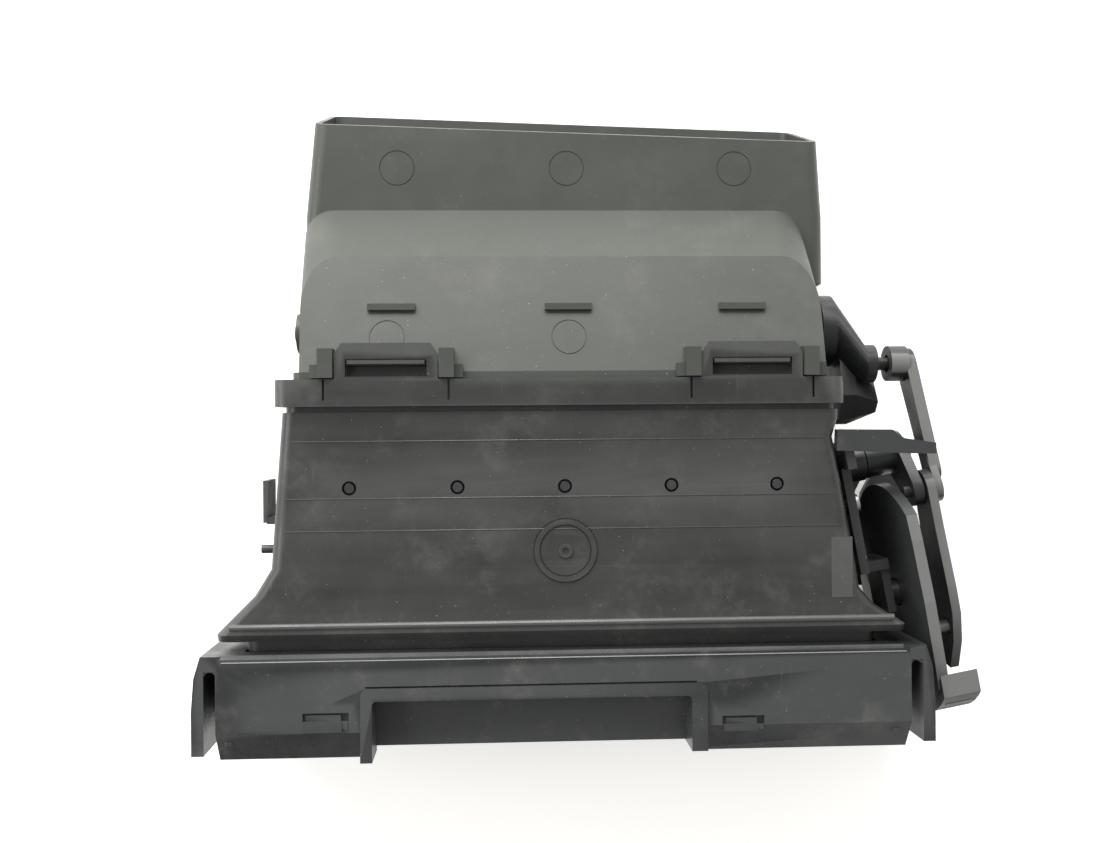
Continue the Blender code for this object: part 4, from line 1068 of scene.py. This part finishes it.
def rocker():
    pin_b, pin_z = ROCKER_B + PIN_B, WHEEL_Z + PIN_Z
    arm = prism(capsule(pin_b, pin_z, 4.6, ROCKER_B, WHEEL_Z, 7.0), "X", 6.0, 9.2)
    unite(arm, rod("X", ROCKER_B, WHEEL_Z, -3.0, 9.2, 5.6, 18))
    unite(arm, rod("X", pin_b, pin_z, 4.0, 15.3, 2.0, 14))
    cut(arm, rod("X", ROCKER_B, WHEEL_Z, -10.0, 20.0, 3.3, 16))
    publish(to_side(arm), "rocker", "carrier_plastic")
    clip = rod("X", ROCKER_B, WHEEL_Z, 9.6, 10.6, 5.0, 18)
    cut(clip, rod("X", ROCKER_B, WHEEL_Z, 5, 15, 2.3, 14))
    publish(to_side(clip), "rocker_retaining_clip", "carrier_plastic")


def lower_link():
    """Flat link from the wheel to the rocker, with a heavy rounded front end."""
    rear_b, z = ROCKER_B + PIN_B, WHEEL_Z + PIN_Z
    outline = circle(rear_b, z, 5.6, 9, -math.pi / 2, math.pi)
    front_end = [(-6.0, z + 6.4), (-15.0, z + 3.0), (-24.0, z - 3.5), (-23.0, z - 9.0), (-12.0, z - 9.6)]
    outline += [(20.0, z + 5.7), (2.0, z + 6.6)] + front_end + [(4.0, z - 9.6), (20.0, z - 6.6)]
    link = prism(outline, "X", 9.6, 12.2)
    inner = [(12.0, b, h) for b, h in [(1.0, z + 6.55)] + front_end + [(-1.0, z - 9.55)]]
    outer = [(14.9, b, h) for b, h in [(-7.0, z + 6.3)] + front_end + [(-9.0, z - 9.5)]]
    unite(link, loft([inner, outer]))
    cut(link, rod("X", rear_b, z, 5, 20, 2.4, 14), rod("X", PIN_B, z, 5, 13.6, 2.4, 14))
    publish(to_side(link), "lower_link", "link_plastic")


def upper_link():
    """Link from the rocker to the damper crank; its bar leans outwards towards the rocker."""
    rear_y, rear_z = CRANK_PIN
    front = side_point(13.6, ROCKER_B + PIN_B, WHEEL_Z + PIN_Z)
    lean = (front.x - 109.8 + 5.7) / (rear_y - front.y)
    outline = capsule(front.y + 5.5, front.z - 1.0, 3.4, rear_y, rear_z, 4.6)

    def ring(offset):
        return [(103.0 + offset + (rear_y - y) * lean, y, z) for y, z in outline]

    bar = loft([ring(0.0), ring(3.3)])
    unite(bar, rod("X", rear_y, rear_z, 98.6, 104.0, 5.3, 18))
    pin_b, pin_z = ROCKER_B + PIN_B, WHEEL_Z + PIN_Z
    eye = capsule(pin_b, pin_z, 4.6, pin_b + 7.0, pin_z - 1.2, 3.0)
    unite(bar, to_side(prism(eye, "X", 12.5, 14.7)))
    cut(bar, rod("X", rear_y, rear_z, 90.0, 115.0, 2.6, 14))
    cut(bar, to_side(rod("X", pin_b, pin_z, 8.0, 20.0, 2.4, 14)))
    clear = circle(pin_b, pin_z, 6.2, 18)
    cut(bar, to_side(prism(clear, "X", 6.0, 12.48)))
    publish(bar, "upper_link", "link_plastic")


def side_carrier():
    """Bracket on the housing's right wall that holds the wheel's and the rocker's studs."""
    inner, outer = CARRIER_PLATE
    plate = box(inner, outer, 10.0, 47.0, SHELF_LOW, 53.0)
    step = box(inner, -3.2, 9.0, 12.0, 30.0, 46.0)
    arm = box(-5.6, -3.2, -4.2, 12.0, 31.0, 45.0)
    unite(plate, step, arm)
    for b, z in screw_places():
        unite(plate, rod("X", b, z, -16.4, -13.0, 3.2, 14))
    unite(plate, rod("X", 0.0, WHEEL_Z, -4.0, 4.4, 4.0, 20))
    unite(plate, rod("X", 0.0, WHEEL_Z, 4.0, 6.4, 2.5, 16))
    unite(plate, rod("X", ROCKER_B, WHEEL_Z, -12.0, -3.4, 6.0, 18))
    unite(plate, rod("X", ROCKER_B, WHEEL_Z, -4.0, 9.3, 2.95, 16))
    unite(plate, rod("X", ROCKER_B, WHEEL_Z, 9.0, 11.2, 2.0, 14))
    for b, z in screw_places():
        cut(plate, rod("X", b, z, -20.0, -5.0, 1.5, 10))
    to_side(plate)
    unite(plate, prism(SHELF_OUTLINE, "Z", SHELF_LOW, SHELF_HIGH))
    unite(plate, prism(BEAM_OUTLINE, "Z", 58.6, 61.6))
    corners = ((inner, 41.5), (outer, 41.5), (outer, 47.0), (inner, 47.0))
    prop = [side_point(a, b, 0.0)[:2] for a, b in corners]
    unite(plate, prism(prop, "Z", 48.0, 60.0))
    publish(plate, "side_carrier", "carrier_plastic")
    for index, (b, z) in enumerate(screw_places(), 1):
        screw = rod("X", b, z, -11.1, -9.3, 2.8, 16)
        unite(screw, rod("X", b, z, -18.6, -10.8, 1.1, 10))
        cut(screw, box(-9.8, -8.0, b - 2.0, b + 2.0, z - 0.4, z + 0.4))
        publish(to_side(screw), f"carrier_screw_{index}", "screw_steel")


# ---------------------------------------------------------------- floor, lights, camera
def floor():
    bm = bmesh.new()
    bmesh.ops.create_grid(bm, x_segments=1, y_segments=1, size=1.6)
    obj = mesh_object(bm, "floor")
    obj.location = (0.0, 0.08, -0.0004)
    g = Graph("floor_card")
    tone = g.ramp(g.noise(3.0, 3.0, 0.5), 0.3, 0.7)
    g.link(g.mix(tone, (0.86, 0.86, 0.85), (0.90, 0.90, 0.89)), g.shader.inputs["Base Color"])
    g.shader.inputs["Roughness"].default_value = 0.7
    g.shader.inputs["Emission Color"].default_value = (1.0, 0.985, 0.95, 1.0)
    g.shader.inputs["Emission Strength"].default_value = 0.42
    obj.data.materials.append(g.material)


def area_light(name, place, target, size, power, colour=(1.0, 1.0, 1.0)):
    data = bpy.data.lights.new(name, "AREA")
    data.shape = "RECTANGLE"
    data.size, data.size_y = size
    data.energy = power
    data.color = colour
    obj = bpy.data.objects.new(name, data)
    obj.location = place
    obj.rotation_euler = (Vector(target) - Vector(place)).to_track_quat("-Z", "Y").to_euler()
    bpy.context.scene.collection.objects.link(obj)


def lights():
    area_light("rear_window", (-0.30, 1.15, 0.66), (0, 0.08, 0.03), (1.5, 0.8), 30.0, (1.0, 0.99, 0.97))
    area_light("left_fill", (-1.1, 0.1, 0.9), (0, 0.08, 0.03), (0.8, 0.7), 7.0)
    world = bpy.data.worlds.new("room")
    world.use_nodes = True
    tree = world.node_tree
    background = tree.nodes["Background"]
    coords = tree.nodes.new("ShaderNodeTexCoord")
    split = tree.nodes.new("ShaderNodeSeparateXYZ")
    ramp = tree.nodes.new("ShaderNodeMapRange")
    ramp.inputs["From Min"].default_value = -1.0
    ramp.inputs["From Max"].default_value = 1.0
    ramp.inputs["To Min"].default_value = 0.28
    ramp.inputs["To Max"].default_value = 1.50
    zenith = tree.nodes.new("ShaderNodeMapRange")
    zenith.interpolation_type = "SMOOTHSTEP"
    zenith.inputs["From Min"].default_value = 0.25
    zenith.inputs["From Max"].default_value = 0.82
    zenith.inputs["To Min"].default_value = 1.0
    zenith.inputs["To Max"].default_value = 0.60
    product = tree.nodes.new("ShaderNodeMath")
    product.operation = "MULTIPLY"
    tree.links.new(coords.outputs["Generated"], split.inputs[0])
    tree.links.new(split.outputs["Y"], ramp.inputs["Value"])
    tree.links.new(split.outputs["Z"], zenith.inputs["Value"])
    tree.links.new(ramp.outputs["Result"], product.inputs[0])
    tree.links.new(zenith.outputs["Result"], product.inputs[1])
    tree.links.new(product.outputs[0], background.inputs["Strength"])
    background.inputs["Color"].default_value = (1.0, 0.995, 0.98, 1.0)
    bpy.context.scene.world = world
    bpy.context.scene.view_settings.view_transform = "Standard"


CAMERA_PLACE = (-0.0197, 0.0788, 0.3832)    # in metres
CAMERA_LEAN = 2.74                          # degrees from straight down
CAMERA_TURN = 0.479                         # degrees about the line of sight
CAMERA_LENS = 37.705


def camera():
    """Almost straight down, leaning a little towards +X and turned slightly."""
    lean, turn = math.radians(CAMERA_LEAN), math.radians(CAMERA_TURN)
    right = Vector((math.cos(lean), 0.0, math.sin(lean)))
    forward = Vector((math.sin(lean), 0.0, -math.cos(lean)))
    up = Vector((0.0, 1.0, 0.0))
    local_x = math.cos(turn) * right - math.sin(turn) * up
    local_y = math.sin(turn) * right + math.cos(turn) * up
    data = bpy.data.cameras.new("camera")
    data.sensor_width = 36.0
    data.lens = CAMERA_LENS
    data.clip_start = 0.01
    obj = bpy.data.objects.new("camera", data)
    obj.matrix_world = Matrix((local_x, local_y, -forward)).transposed().to_4x4()
    obj.location = CAMERA_PLACE
    bpy.context.scene.collection.objects.link(obj)
    bpy.context.scene.camera = obj


def main():
    housing_upper()
    housing_lower()
    housing_marks()
    duct_adapter()
    front_frame()
    for index, x in enumerate(vane_positions(), 1):
        vertical_vane(index, x)
    vane_tie_bar()
    for index, z in enumerate(blade_heights(), 1):
        horizontal_vane(index, z)
    vane_side_link()
    vane_bearing(-1, "vane_bearing_left")
    vane_bearing(1, "vane_bearing_right")
    slider_knob()
    damper()
    damper_crank()
    thumbwheel()
    rocker()
    lower_link()
    upper_link()
    side_carrier()
    floor()
    lights()
    camera()


main()
